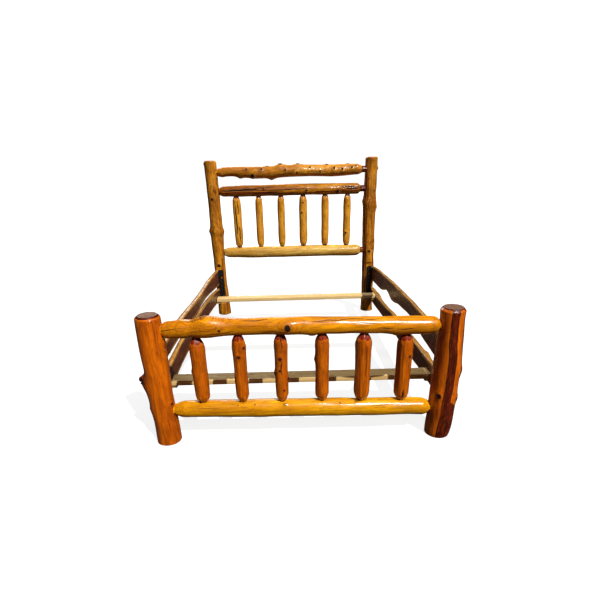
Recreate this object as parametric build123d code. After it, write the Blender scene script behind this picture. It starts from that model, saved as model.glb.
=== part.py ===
"""Rustic log bed: a log headboard and footboard, live-edge side boards hung on keyhole brackets, and
loose slats.

Millimetres. +X runs across the bed, +Y from the foot to the head and +Z up. The origin is on the floor,
midway between the four posts. "Left" is -X and "right" is +X.
"""

from build123d import *
from math import cos, radians, sin
import os

# ---- Mattress and overall sizes -------------------------------------------------------------------
MATTRESS_WIDTH = 1524.0
MATTRESS_LENGTH = 2032.0
BOARD_CLEARANCE = 8.0  # from the mattress's side to a side board's inner face
POST_INSET = 17.5  # from a side board's inner face in to the posts' centres
END_CLEARANCE = 94.0  # from the mattress's end to the posts' centres
HEAD_POST_HEIGHT = 1469.0
FOOT_POST_HEIGHT = 731.0
HEAD_CROWN = 9.0  # bevel round the top of a post
FOOT_CROWN = 14.0

# ---- Round tenons and their mortises --------------------------------------------------------------
RAIL_TENON_RADIUS = 26.0
RAIL_TENON_LENGTH = 58.0  # in its mortise
SPINDLE_TENON_RADIUS = 16.0
SPINDLE_TENON_LENGTH = 30.0
SPINDLE_TAPERS = {"head": (42.0, 42.0), "foot": (34.0, 50.0)}  # lengths at a spindle's lower and upper end
TAPER_CUTS = (0.0, 0.4, 0.72, 1.0)  # shares of a taper's length where the drawknife's bevels meet
TAPER_ROUNDING = 1.7  # 1 is a plain cone, and more is a rounder nose
SHOULDER_STEP = 2.0  # how much wider the taper ends than its tenon
SHOULDER_GAP = 1.6  # between a taper's end and the log that it enters
MORTISE_CLEARANCE = 0.15  # on the radius
MORTISE_SPARE = 2.0  # left under the end of a tenon
TENON_CHAMFER = 2.0

# ---- Places of the rails' centres, midway between the posts ----------------------------------------
HEAD_TOP_RAIL_DROP = 104.0  # below the posts' tops
HEAD_UPPER_RAIL_DROP = 265.0
HEAD_LOWER_RAIL_Z = 638.0  # above the floor
FOOT_TOP_RAIL_DROP = 79.0
FOOT_BOTTOM_RAIL_Z = 176.0

# ---- Rows of spindles -----------------------------------------------------------------------------
SPINDLE_COUNT = 6
SPINDLE_MARGIN = 223.5  # from a post's centre to the first spindle of a row
HEAD_ROW_SHIFT = -15.0  # the head row hangs a little to the left, as the right post leans inwards

# ---- Saw flats on the posts, where the side boards meet them ---------------------------------------
HEAD_FLAT = 46.0  # from the post's centre line to the flat
FOOT_FLAT = 52.0
FLAT_MARGIN = 8.0  # flat left above and below what slides on it
FLAT_RUN_OUT = 30.0  # slope from the flat back to the round of the post

# ---- Side boards ----------------------------------------------------------------------------------
BOARD_THICKNESS = 38.0
BOARD_END_GAP = 0.5  # from a board's end to the post's flat
BARK_BULGE = 4.0  # how far the waney edge stands up in the middle of its thickness
BARK_BULGE_AT = 0.4  # where that is, as a share of the thickness from the inner face

# ---- Keyhole brackets -----------------------------------------------------------------------------
LIFT = 18.0  # how far a side lifts before its brackets come off the bolts
BRACKET_LEG = 45.0
BRACKET_STEEL = 4.5
BRACKET_DROP = 103.0  # from the slats' top down to a bracket's lower end
BRACKET_HEIGHT = 328.0
BRACKET_CORNER = 12.0
BRACKET_BEND = 3.0  # inner radius of the bend
STEEL_CUT = 4 * BRACKET_STEEL  # length of a cutter that goes through a leg
BRACKET_SEAT_GAP = 0.3  # from the post's flat, and under each bolt's head
BOLT_INSET = 58.0  # from the bracket's ends to its two bolts
BOLT_SHANK_RADIUS = 4.8
BOLT_TIP_GAP = 2.0  # from a bolt's point to a rail's mortise
BOLT_HEAD_WIDTH = 14.3  # across flats
BOLT_HEAD_HEIGHT = 6.0
BOLT_COLLAR_RADIUS = 9.0
BOLT_COLLAR_HEIGHT = 1.6
BOLT_HEAD_BEVEL = 1.0
BOLT_POINT = 8.0
BOLT_TIP_RADIUS = 1.0
SLOT_CLEARANCE = 0.3  # round a bolt's shank in the keyhole's slot
KEYHOLE_CLEARANCE = 1.2  # round a bolt's collar in the keyhole's round end
SCREW_NEAR = 0.42  # places of the staggered screws, as shares of the leg
SCREW_FAR = 0.78
SCREW_HEIGHTS = (-34.0, -11.0, 165.0, 191.0)  # two screws in each board, from the slats' top

# ---- Screws ---------------------------------------------------------------------------------------
SCREW_RADIUS = 2.6
SCREW_HEAD_RADIUS = 5.5
SCREW_HEAD_HEIGHT = 2.9
SCREW_HEAD_ROUND = 1.7
SCREW_GRIP = 26.0  # length in the wood
SCREW_POINT = 5.0
SCREW_TIP_RADIUS = 0.5
SCREW_CLEARANCE = 0.1

# ---- Slats and the blocks that they rest on --------------------------------------------------------
SLAT_FROM_END = 176.0  # from the mattress's end to the outer slats' centres
SLAT_WIDTH = 89.0
SLAT_THICKNESS = 32.0
SLAT_TOP = 245.0
SLAT_END_GAP = 3.0  # from a slat's end to the side boards
SLAT_REST_GAP = 0.3
SLAT_EASING = 2.5
BLOCK_LENGTH = 72.0
BLOCK_DEPTH = 34.0
BLOCK_HEIGHT = 19.0
BLOCK_EASING = 2.0
BLOCK_SCREW_INSET = 16.0

# ---- Places worked out from the sizes above --------------------------------------------------------
SIDES = {"left": -1, "right": 1}
TOWARDS_MIDDLE = {"head": -1, "foot": 1}
BOARD_INNER_X = MATTRESS_WIDTH / 2 + BOARD_CLEARANCE
BOARD_OUTER_X = BOARD_INNER_X + BOARD_THICKNESS
POST_X = BOARD_INNER_X - POST_INSET
HEAD_Y = MATTRESS_LENGTH / 2 + END_CLEARANCE
FOOT_Y = -HEAD_Y
FLATS = {"head": HEAD_Y - HEAD_FLAT, "foot": FOOT_Y + FOOT_FLAT}
SPINDLE_PITCH = 2 * (POST_X - SPINDLE_MARGIN) / (SPINDLE_COUNT - 1)
BRACKET_X = BOARD_INNER_X - BRACKET_STEEL  # the board leg's inner face
BRACKET_EDGE_X = BOARD_INNER_X - BRACKET_LEG  # the post leg's free edge
BRACKET_BOTTOM = SLAT_TOP - BRACKET_DROP
BRACKET_TOP = BRACKET_BOTTOM + BRACKET_HEIGHT
BOLT_X = (BRACKET_EDGE_X + BRACKET_X) / 2
BOLT_HEIGHTS = (BRACKET_BOTTOM + BOLT_INSET, BRACKET_TOP - BOLT_INSET)
BOLT_STAND_OFF = 2 * BRACKET_SEAT_GAP + BRACKET_STEEL  # from the flat to the underside of a bolt's collar
BOLT_LENGTH = BOLT_STAND_OFF + FOOT_FLAT - RAIL_TENON_RADIUS - MORTISE_CLEARANCE - BOLT_TIP_GAP
SLAT_BOTTOM = SLAT_TOP - SLAT_THICKNESS
BLOCK_TOP = SLAT_BOTTOM - SLAT_REST_GAP
SLATS = {
    "foot": SLAT_FROM_END - MATTRESS_LENGTH / 2,
    "middle": 0.0,
    "head": MATTRESS_LENGTH / 2 - SLAT_FROM_END,
}

# ---- The logs' own shapes: radii and centre-line sway at even steps from butt to tip ----------------
# A post's steps run up from the floor, a rail's run from left to right and a spindle's run up.
# sway_u is along +X on a post or spindle and along +Y on a rail; sway_v is along +Y or +Z.
POSTS = {
    "head_post_left": dict(
        radii=(65, 57, 56, 58, 57, 56, 56.5),
        sway_u=(0, -5, -8, -7, -4, -5, -8.5),
        sway_v=(0, 1, 2, 0, -2, 0, 0),
    ),
    "head_post_right": dict(
        radii=(62, 58, 58, 57.5, 61, 59.5, 57.5),
        sway_u=(-4.5, -8, -12, -19, -23, -24, -21.5),
        sway_v=(0, -1, 0, 2, 1, 0, 0),
    ),
    "foot_post_left": dict(
        radii=(65, 64.5, 63.5, 63.5, 64.5, 62),
        sway_u=(9, 5, 0, 0, 1, 0),
        sway_v=(0, 1, 1, 0, 0, 0),
    ),
    "foot_post_right": dict(
        radii=(64.5, 70, 69, 69, 64, 62.5),
        sway_u=(-4, 3, 4, 6, 1, 0),
        sway_v=(0, 0, 1, 1, 0, 0),
    ),
}
# taper and bare give the length of the taper and of the tenon that shows, at a rail's left and right ends.
RAILS = {
    "head_top_rail": dict(
        taper=(46, 44),
        bare=(0, 32),
        radii=(41, 42, 47, 46, 45, 46, 43),
        sway_u=(0, 3, 1, -3, 0, 2, 0),
        sway_v=(3, 0, -6, 1, 1, -3, 3),
    ),
    "head_upper_rail": dict(
        taper=(46, 26),
        bare=(0, 36),
        radii=(45, 47, 47.5, 47, 47, 46.5, 45.5),
        sway_u=(0, 0, 2, 1, 0, -1, 0),
        sway_v=(-2, -1, -1, 0, 0, -2, -3),
    ),
    "head_lower_rail": dict(
        taper=(54, 40),
        bare=(0, 22),
        radii=(47, 50, 51, 51, 51, 51, 49),
        sway_u=(0, -1, 0, 1, 1, 0, 0),
        sway_v=(-5, -7, -9, -9, -8, -10, -12),
    ),
    "foot_top_rail": dict(
        taper=(20, 20),
        bare=(0, 0),
        radii=(35, 49, 43, 44.5, 43, 44, 42),
        sway_u=(0, 0, 2, 0, -1, 0, 0),
        sway_v=(-2, 4, 4, 2, -1, -7, -12),
    ),
    "foot_bottom_rail": dict(
        taper=(56, 38),
        bare=(0, 0),
        radii=(45, 47.5, 48.5, 48.5, 48, 47.5, 46),
        sway_u=(0, 1, 0, 0, -1, 0, 0),
        sway_v=(16, 12, 9, 7, 3, -1, -5),
    ),
}
HEAD_SPINDLE_RADII = (37, 32, 32, 36, 33, 33)
FOOT_SPINDLE_RADII = (39, 34, 34, 36, 41, 38)
SPINDLE_BARREL = (0.96, 1.0, 0.985, 1.0, 0.95)  # share of a spindle's radius, from its foot to its head

# ---- Branch stubs: (place along the log as a share, turn about it in degrees, radius, height) -------
# Turn 0 is along +X on a post or spindle and along +Y on a rail, and 90 is along +Y or +Z.
STUB_ROOT = 1.7  # share of a stub's radius at the log's centre line
STUB_TIP = 0.75  # share of it at the stub's face
STUBS = {
    "head_post_left": ((0.980, 175, 13, 5), (0.775, 262, 15, 5), (0.352, 270, 15, 5), (0.575, 185, 17, 4)),
    "head_post_right": ((0.740, 180, 18, 6), (0.700, 5, 17, 6), (0.935, 0, 15, 6), (0.422, 268, 14, 4)),
    "foot_post_left": ((0.522, 182, 20, 34), (0.285, 190, 13, 5), (0.790, 352, 20, 6)),
    "foot_post_right": ((0.355, 240, 13, 5), (0.545, 8, 17, 6), (0.320, 2, 16, 6)),
    "head_top_rail": (
        (0.225, 255, 19, 7),
        (0.430, 100, 20, 8),
        (0.130, 275, 12, 7),
        (0.365, 272, 13, 7),
        (0.560, 95, 13, 6),
        (0.775, 98, 14, 6),
        (0.930, 92, 12, 6),
    ),
    "head_upper_rail": ((0.850, 205, 15, 4), (0.300, 165, 12, 3)),
    "head_lower_rail": ((0.330, 120, 12, 3),),
    "foot_top_rail": ((0.120, 100, 22, 7), (0.450, 200, 15, 5), (0.540, 268, 20, 7), (0.860, 265, 22, 6)),
    "foot_bottom_rail": ((0.420, 130, 11, 3), (0.720, 110, 12, 3)),
    "foot_spindle_1": ((0.520, 182, 12, 5),),
    "foot_spindle_2": ((0.800, 300, 8, 3),),
    "foot_spindle_3": ((0.450, 188, 11, 6), (0.330, 350, 10, 5)),
    "foot_spindle_4": ((0.700, 180, 13, 6),),
    "foot_spindle_6": ((0.780, 330, 10, 3),),
    "head_spindle_4": ((0.700, 250, 9, 3),),
    "head_spindle_6": ((0.300, 300, 9, 3),),
}

# ---- Waney edges of the side boards: heights above the slats' top at even steps from foot to head ---
# fall is how much lower the outer top edge is than the inner one, where the bark side falls away.
SIDE_BOARDS = {
    "left_upper_board": dict(
        top=(224, 232, 239, 234, 226, 224, 235, 233, 224),
        bottom=(135, 139, 144, 135, 133, 139, 125, 99, 77),
        fall=4,
    ),
    "left_lower_board": dict(
        top=(51, 77, 101, 109, 110, 105, 95, 71, 35),
        bottom=(-67, -51, -28, -32, -61, -35, -33, -53, -65),
        fall=10,
    ),
    "right_upper_board": dict(
        top=(260, 266, 269, 273, 277, 276, 274, 272, 267, 259, 252, 243, 220),
        bottom=(107, 117, 130, 150, 176, 168, 155, 130, 160, 121, 104, 98, 88),
        fall=9,
    ),
    "right_lower_board": dict(
        top=(45, 52, 44, 46, 38, 36, 35, 30, 14, 6, -4, -4, 3),
        bottom=(-85, -82, -80, -86, -92, -95, -96, -98, -101, -104, -112, -118, -116),
        fall=4,
    ),
}


# ---- Logs -----------------------------------------------------------------------------------------
def place_along(axis, distance, u=0.0, v=0.0):
    """A section plane on a log along Z or X, where u and v are the centre line's sideways offsets."""
    if axis == "Z":
        return Plane(origin=(u, v, distance), x_dir=(1, 0, 0), z_dir=(0, 0, 1))
    return Plane(origin=(distance, u, v), x_dir=(0, 1, 0), z_dir=(1, 0, 0))


def log_body(axis, start, end, centre, radii, sway_u, sway_v):
    """A peeled log, lofted through round sections at even steps. centre is its (u, v) place."""
    step = (end - start) / (len(radii) - 1)
    sections = [
        place_along(axis, start + i * step, centre[0] + sway_u[i], centre[1] + sway_v[i]) * Circle(radius)
        for i, radius in enumerate(radii)
    ]
    return loft(sections)


def at_share(values, share):
    """The value at a share of the way through evenly spaced values."""
    place = share * (len(values) - 1)
    before = min(int(place), len(values) - 2)
    return values[before] + (values[before + 1] - values[before]) * (place - before)


def with_stubs(log, axis, start, end, centre, shape, stubs):
    """The log with its trimmed branch stubs, each a short cone that stands out of the surface."""
    for share, turn, radius, height in stubs:
        u = centre[0] + at_share(shape["sway_u"], share)
        v = centre[1] + at_share(shape["sway_v"], share)
        middle = place_along(axis, start + share * (end - start), u, v)
        outwards = middle.x_dir * cos(radians(turn)) + middle.y_dir * sin(radians(turn))
        reach = at_share(shape["radii"], share) + height
        cone = Cone(
            radius * STUB_ROOT, radius * STUB_TIP, reach, align=(Align.CENTER, Align.CENTER, Align.MIN)
        )
        log += Plane(origin=middle.origin, z_dir=outwards) * cone
    return log


def tapered_end(axis, shoulder, centre, log_radius, tenon_radius, taper, tenon_length, outward):
    """The bevelled taper and round tenon at one end of a log. outward is +1 or -1 along the axis."""
    end_radius = tenon_radius + SHOULDER_STEP
    tip = shoulder + outward * tenon_length
    taper_sections = [
        place_along(axis, shoulder - outward * taper * (1 - share), *centre)
        * Circle(log_radius - (log_radius - end_radius) * share**TAPER_ROUNDING)
        for share in TAPER_CUTS
    ]
    tenon_sections = [
        place_along(axis, shoulder, *centre) * Circle(tenon_radius),
        place_along(axis, tip - outward * TENON_CHAMFER, *centre) * Circle(tenon_radius),
        place_along(axis, tip, *centre) * Circle(tenon_radius - TENON_CHAMFER),
    ]
    return [loft(taper_sections, ruled=True), loft(tenon_sections, ruled=True)]


def surface_hits(log, origin, direction):
    """The places where a straight line through origin meets the log, in order along direction."""
    line = Axis(origin, direction)
    hits = [point for face in log.faces() for point, _ in face.find_intersection_points(line)]
    return sorted(hits, key=lambda point: (point - Vector(*origin)).dot(Vector(*direction)))


def mortise(axis, mouth, centre, tenon_radius, tenon_length, inward):
    """The blind hole for a tenon, from just outside the log's surface at mouth."""
    depth = tenon_length + MORTISE_SPARE
    start = mouth - inward * tenon_radius
    end = mouth + inward * depth
    hole = Cylinder(tenon_radius + MORTISE_CLEARANCE, abs(end - start))
    return place_along(axis, (start + end) / 2, *centre) * hole


# ---- Posts ----------------------------------------------------------------------------------------
def post(name, height, x, y, crown):
    """A post with a bevelled crown. Its butt is sawn square on the floor."""
    body = log_body("Z", 0, height, (x, y), **POSTS[name])
    body = chamfer(body.edges().group_by(Axis.Z)[-1], crown)
    return with_stubs(body, "Z", 0, height, (x, y), POSTS[name], STUBS.get(name, ()))


def post_flat(end, side):
    """What is sawn off a post for the boards and bracket, with sloping run-outs at both ends."""
    boards = [edges for name, edges in SIDE_BOARDS.items() if name.startswith(side)]
    board_end = -1 if end == "head" else 0
    low = min(BRACKET_BOTTOM, *[SLAT_TOP + board["bottom"][board_end] for board in boards]) - FLAT_MARGIN
    high = max(BRACKET_TOP, *[SLAT_TOP + board["top"][board_end] for board in boards])
    high += BARK_BULGE + LIFT + FLAT_MARGIN
    y = FLATS[end]
    out = y + TOWARDS_MIDDLE[end] * FLAT_RUN_OUT
    outline = make_face(
        Polyline(
            (0, y, low), (0, y, high), (0, out, high + FLAT_RUN_OUT), (0, out, low - FLAT_RUN_OUT), close=True
        )
    )
    widest = max(POSTS[f"{end}_post_{side}"]["radii"])
    return Pos(SIDES[side] * POST_X, 0, 0) * extrude(outline, amount=2 * widest, dir=(1, 0, 0), both=True)


# ---- Rails ----------------------------------------------------------------------------------------
def rail(name, y, z, posts):
    """A rail that reaches from post to post, with its tenons. Returns it with its mortise cutters."""
    shape = RAILS[name]
    log = {key: shape[key] for key in ("radii", "sway_u", "sway_v")}
    parts, cutters = [], []
    ends = {}
    for side, outward in SIDES.items():
        index = 0 if outward < 0 else -1
        centre = (y + shape["sway_u"][index], z + shape["sway_v"][index])
        origin = (0, centre[0], centre[1])
        meets = surface_hits(posts[side], origin, (outward, 0, 0))[0].X
        bare, taper = shape["bare"][index], shape["taper"][index]
        shoulder = meets - outward * (SHOULDER_GAP + bare)
        ends[side] = shoulder - outward * taper
        tenon = (RAIL_TENON_RADIUS, taper, RAIL_TENON_LENGTH + bare)
        parts += tapered_end("X", shoulder, centre, shape["radii"][index], *tenon, outward)
        cutters.append(mortise("X", meets, centre, RAIL_TENON_RADIUS, RAIL_TENON_LENGTH, outward))
    body = log_body("X", ends["left"], ends["right"], (y, z), **log)
    body = with_stubs(body, "X", ends["left"], ends["right"], (y, z), shape, STUBS.get(name, ()))
    for part in parts:
        body += part
    return body, dict(zip(SIDES, cutters))


# ---- Spindles -------------------------------------------------------------------------------------
def spindle(name, x, y, radius, tapers, below, above):
    """A spindle between two rails, with its tenons. Returns it with its lower and upper mortise cutters."""
    middle = (below.center().Z + above.center().Z) / 2
    floor = surface_hits(below, (x, y, middle), (0, 0, 1))[-1].Z
    roof = surface_hits(above, (x, y, middle), (0, 0, 1))[0].Z
    shoulders = (floor + SHOULDER_GAP, roof - SHOULDER_GAP)
    start = shoulders[0] + tapers[0]
    end = shoulders[1] - tapers[1]
    radii = tuple(radius * share for share in SPINDLE_BARREL)
    still = (0,) * len(radii)
    shape = dict(radii=radii, sway_u=still, sway_v=still)
    body = log_body("Z", start, end, (x, y), **shape)
    body = with_stubs(body, "Z", start, end, (x, y), shape, STUBS.get(name, ()))
    for i, outward in enumerate((-1, 1)):
        tenon = (SPINDLE_TENON_RADIUS, tapers[i], SPINDLE_TENON_LENGTH)
        for part in tapered_end("Z", shoulders[i], (x, y), radii[-i], *tenon, outward):
            body += part
    lower = mortise("Z", floor, (x, y), SPINDLE_TENON_RADIUS, SPINDLE_TENON_LENGTH, -1)
    upper = mortise("Z", roof, (x, y), SPINDLE_TENON_RADIUS, SPINDLE_TENON_LENGTH, 1)
    return body, lower, upper


def spindle_row(end, y, below, above, radii, shift):
    """A row of spindles, and the two rails with their mortises cut."""
    spindles = {}
    lower_cuts, upper_cuts = [], []
    for i in range(SPINDLE_COUNT):
        name = f"{end}_spindle_{i + 1}"
        x = shift + (i - (SPINDLE_COUNT - 1) / 2) * SPINDLE_PITCH
        radius = radii[i % len(radii)]
        spindles[name], lower, upper = spindle(name, x, y, radius, SPINDLE_TAPERS[end], below, above)
        lower_cuts.append(lower)
        upper_cuts.append(upper)
    return spindles, below - lower_cuts, above - upper_cuts


# ---- Side boards ----------------------------------------------------------------------------------
def board_outline(x, ends, top, bottom):
    """A board's outline in the plane at x, with splines for its waney top and bottom edges."""
    low, high = ends
    step = (high - low) / (len(top) - 1)
    top_edge = Spline(*[(x, low + i * step, z) for i, z in enumerate(top)])
    bottom_edge = Spline(*[(x, low + i * step, z) for i, z in enumerate(bottom)])
    foot_end = Line(bottom_edge @ 0, top_edge @ 0)
    head_end = Line(top_edge @ 1, bottom_edge @ 1)
    return make_face([foot_end, top_edge, head_end, bottom_edge])


def side_board(side, top, bottom, fall):
    """A live-edge slab: its flat inner face, a swelling bark edge and an outer face that falls away."""
    ends = (FLATS["foot"] + BOARD_END_GAP, FLATS["head"] - BOARD_END_GAP)
    outward = SIDES[side]
    steps = (
        (BOARD_INNER_X, 0.0, 0.0),
        (BOARD_INNER_X + BARK_BULGE_AT * BOARD_THICKNESS, BARK_BULGE, BARK_BULGE / 2),
        (BOARD_OUTER_X, -fall, -fall / 2),
    )
    outlines = [
        board_outline(
            outward * x,
            ends,
            [SLAT_TOP + z + raised for z in top],
            [SLAT_TOP + z - swollen for z in bottom],
        )
        for x, raised, swollen in steps
    ]
    return loft(outlines, ruled=True)


# ---- Fasteners ------------------------------------------------------------------------------------
def lag_bolt():
    """A hex lag bolt along +Z, with the underside of its collar at the origin and its point at -Z."""
    collar = Cylinder(BOLT_COLLAR_RADIUS, BOLT_COLLAR_HEIGHT, align=(Align.CENTER, Align.CENTER, Align.MIN))
    hexagon = RegularPolygon(BOLT_HEAD_WIDTH / 2, 6, major_radius=False)
    head = extrude(hexagon, BOLT_COLLAR_HEIGHT + BOLT_HEAD_HEIGHT)
    head = chamfer(head.edges().group_by(Axis.Z)[-1], BOLT_HEAD_BEVEL)
    shank_length = BOLT_LENGTH - BOLT_POINT
    down = (Align.CENTER, Align.CENTER, Align.MAX)
    shank = Cylinder(BOLT_SHANK_RADIUS, shank_length, align=down)
    point = Pos(0, 0, -shank_length) * Cone(BOLT_TIP_RADIUS, BOLT_SHANK_RADIUS, BOLT_POINT, align=down)
    return collar + head + shank + point


def wood_screw(grip=SCREW_GRIP):
    """A pan-head screw along +Z, with the underside of its head at the origin and its point at -Z."""
    down = (Align.CENTER, Align.CENTER, Align.MAX)
    head = Cylinder(SCREW_HEAD_RADIUS, SCREW_HEAD_HEIGHT, align=(Align.CENTER, Align.CENTER, Align.MIN))
    head = fillet(head.edges().group_by(Axis.Z)[-1], SCREW_HEAD_ROUND)
    shank_length = grip - SCREW_POINT
    shank = Cylinder(SCREW_RADIUS, shank_length, align=down)
    point = Pos(0, 0, -shank_length) * Cone(SCREW_TIP_RADIUS, SCREW_RADIUS, SCREW_POINT, align=down)
    return head + shank + point


def screw_hole(grip):
    """The cutter for a screw's hole, centred on the underside of its head."""
    return Cylinder(SCREW_RADIUS + SCREW_CLEARANCE, 2 * (grip + MORTISE_SPARE))


def facing(place, direction):
    """The location of a fastener whose head faces along direction."""
    return Plane(origin=place, z_dir=direction).location


def bolt_places(end, side):
    """Where the undersides of the two bolt collars of a bracket are."""
    y = FLATS[end] + TOWARDS_MIDDLE[end] * BOLT_STAND_OFF
    return [(SIDES[side] * BOLT_X, y, z) for z in BOLT_HEIGHTS]


def bracket_screw_places(end, side):
    """Where the bracket's screws go into the boards, staggered along each board."""
    places = []
    for i, height in enumerate(SCREW_HEIGHTS):
        out = BRACKET_LEG * (SCREW_FAR if i % 2 else SCREW_NEAR)
        places.append((SIDES[side] * BRACKET_X, FLATS[end] + TOWARDS_MIDDLE[end] * out, SLAT_TOP + height))
    return places


# ---- Keyhole brackets ------------------------------------------------------------------------------
def keyhole():
    """The cutter for one keyhole, drawn in X and Z about a bolt that hangs at the top of its slot."""
    slot_radius = BOLT_SHANK_RADIUS + SLOT_CLEARANCE
    round_radius = BOLT_COLLAR_RADIUS + KEYHOLE_CLEARANCE
    slot = Pos(0, 0, -LIFT / 2) * Box(2 * slot_radius, STEEL_CUT, LIFT)
    slot += Rot(90, 0, 0) * Cylinder(slot_radius, STEEL_CUT)
    return slot + Pos(0, 0, -LIFT) * (Rot(90, 0, 0) * Cylinder(round_radius, STEEL_CUT))


def bracket(end, side):
    """A steel angle: one leg hangs on the post's bolts by keyholes, the other is screwed to the boards."""
    inwards = TOWARDS_MIDDLE[end]
    outward = SIDES[side]
    back = FLATS[end] + inwards * BRACKET_SEAT_GAP
    front = back + inwards * BRACKET_STEEL
    far_y = FLATS[end] + inwards * BRACKET_LEG
    edge_x, heel_x, inner_x = (outward * x for x in (BRACKET_EDGE_X, BOARD_INNER_X, BRACKET_X))
    heel_side = [(edge_x, back), (heel_x, back), (heel_x, far_y)]
    bed_side = [(inner_x, far_y), (inner_x, front), (edge_x, front)]
    section = make_face(Polyline(*heel_side, *bed_side, close=True))
    section = fillet(section.vertices().sort_by_distance((inner_x, front, 0))[0], BRACKET_BEND)
    section = fillet(section.vertices().sort_by_distance((heel_x, back, 0))[0], BRACKET_BEND + BRACKET_STEEL)
    angle = Pos(0, 0, BRACKET_BOTTOM) * extrude(section, BRACKET_HEIGHT, dir=(0, 0, 1))
    for leg_end, through in ((Plane.YZ.offset(edge_x), Axis.Y), (Plane.XZ.offset(-far_y), Axis.X)):
        tip = angle.faces().sort_by(lambda face: abs(leg_end.to_local_coords(face.center()).Z))[0]
        angle = fillet(tip.edges().filter_by(through), BRACKET_CORNER)
    for x, _, z in bolt_places(end, side):
        angle -= Pos(x, back, z) * keyhole()
    hole = Rot(0, 90, 0) * Cylinder(SCREW_RADIUS + SCREW_CLEARANCE, STEEL_CUT)
    return angle - [Pos(x, y, z) * hole for x, y, z in bracket_screw_places(end, side)]


# ---- Slats and blocks ------------------------------------------------------------------------------
def slat(y):
    """A loose slat across the bed, resting on two blocks."""
    length = 2 * (BOARD_INNER_X - SLAT_END_GAP)
    body = Pos(0, y, SLAT_BOTTOM + SLAT_THICKNESS / 2) * Box(length, SLAT_WIDTH, SLAT_THICKNESS)
    return chamfer(body.edges().filter_by(Axis.X), SLAT_EASING)


def slat_block(side, y):
    """The block under one end of a slat, screwed to the lower board's inner face."""
    x = SIDES[side] * (BOARD_INNER_X - BLOCK_DEPTH / 2)
    body = Pos(x, y, BLOCK_TOP - BLOCK_HEIGHT / 2) * Box(BLOCK_DEPTH, BLOCK_LENGTH, BLOCK_HEIGHT)
    inner = body.edges().filter_by(Axis.Y).sort_by(lambda edge: abs(edge.center().X))[:2]
    return chamfer(inner, BLOCK_EASING)


def block_screw_places(side, y):
    """Where a block's two screws start, on its face towards the middle of the bed."""
    z = BLOCK_TOP - BLOCK_HEIGHT / 2
    x = SIDES[side] * (BOARD_INNER_X - BLOCK_DEPTH)
    reach = BLOCK_LENGTH / 2 - BLOCK_SCREW_INSET
    return [(x, y - reach, z), (x, y + reach, z)]


# ---- Assembly -------------------------------------------------------------------------------------
def end_frame(end, y, height, crown, rails, radii, shift):
    """A headboard or footboard. rails is {name: height}, from the spindles' lower rail upwards."""
    posts = {}
    for side, outward in SIDES.items():
        posts[side] = post(f"{end}_post_{side}", height, outward * POST_X, y, crown)
    made = {}
    cutters = {side: [] for side in SIDES}
    for name, z in rails.items():
        made[name], cuts = rail(name, y, z, posts)
        for side in SIDES:
            cutters[side].append(cuts[side])
    lower, upper = list(rails)[:2]
    spindles, made[lower], made[upper] = spindle_row(end, y, made[lower], made[upper], radii, shift)
    nodes = made | spindles
    for side in SIDES:
        bolts = [facing(place, (0, TOWARDS_MIDDLE[end], 0)) for place in bolt_places(end, side)]
        pilot = Cylinder(BOLT_SHANK_RADIUS + SCREW_CLEARANCE, 2 * (BOLT_LENGTH + BOLT_TIP_GAP / 2))
        cutters[side] += [post_flat(end, side)] + [where * pilot for where in bolts]
        nodes[f"{end}_post_{side}"] = posts[side] - cutters[side]
        nodes[f"{end}_bolts_{side}"] = Compound([where * lag_bolt() for where in bolts])
    return nodes


def side_rail(side):
    """The two boards of one side, with the brackets, blocks and screws that lift with them."""
    nodes = {}
    pilots = []
    block_screws = []
    inwards = (-SIDES[side], 0, 0)
    for end in FLATS:
        nodes[f"{end}_bracket_{side}"] = bracket(end, side)
        places = [facing(place, inwards) for place in bracket_screw_places(end, side)]
        nodes[f"{end}_bracket_screws_{side}"] = Compound([where * wood_screw() for where in places])
        pilots += [where * screw_hole(SCREW_GRIP) for where in places]
    for name, y in SLATS.items():
        places = [facing(place, inwards) for place in block_screw_places(side, y)]
        grip = BLOCK_DEPTH + SCREW_GRIP
        block_screws += [where * wood_screw(grip) for where in places]
        holes = [where * screw_hole(grip) for where in places]
        nodes[f"slat_block_{name}_{side}"] = slat_block(side, y) - holes
        pilots += holes
    nodes[f"block_screws_{side}"] = Compound(block_screws)
    for name, edges in SIDE_BOARDS.items():
        if name.startswith(side):
            nodes[name] = side_board(side, **edges) - pilots
    return nodes


def bed():
    """Every node of the bed by name."""
    head_rails = {
        "head_lower_rail": HEAD_LOWER_RAIL_Z,
        "head_upper_rail": HEAD_POST_HEIGHT - HEAD_UPPER_RAIL_DROP,
        "head_top_rail": HEAD_POST_HEIGHT - HEAD_TOP_RAIL_DROP,
    }
    foot_rails = {
        "foot_bottom_rail": FOOT_BOTTOM_RAIL_Z,
        "foot_top_rail": FOOT_POST_HEIGHT - FOOT_TOP_RAIL_DROP,
    }
    head = end_frame(
        "head", HEAD_Y, HEAD_POST_HEIGHT, HEAD_CROWN, head_rails, HEAD_SPINDLE_RADII, HEAD_ROW_SHIFT
    )
    foot = end_frame("foot", FOOT_Y, FOOT_POST_HEIGHT, FOOT_CROWN, foot_rails, FOOT_SPINDLE_RADII, shift=0)
    nodes = head | foot
    for side in SIDES:
        nodes |= side_rail(side)
    for name, y in SLATS.items():
        nodes[f"slat_{name}"] = slat(y)
    return nodes


os.makedirs("parts", exist_ok=True)
for node_name, node in bed().items():
    export_step(node, f"parts/{node_name}.step")
    print(node_name, len(node.solids()))
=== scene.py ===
"""The finished look of the rustic log bed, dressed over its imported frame.

Metres, in the frame's own axes: +X across the bed, +Y from the foot to the head, +Z up. A log's turn is
counted in degrees about its length: 0 is +X on a post or spindle and +Y on a rail, 90 is +Y or +Z.
"""

import math
from dataclasses import dataclass
from functools import cache

import bpy
import numpy as np
from mathutils import Matrix, Vector
from mathutils.bvhtree import BVHTree


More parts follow.
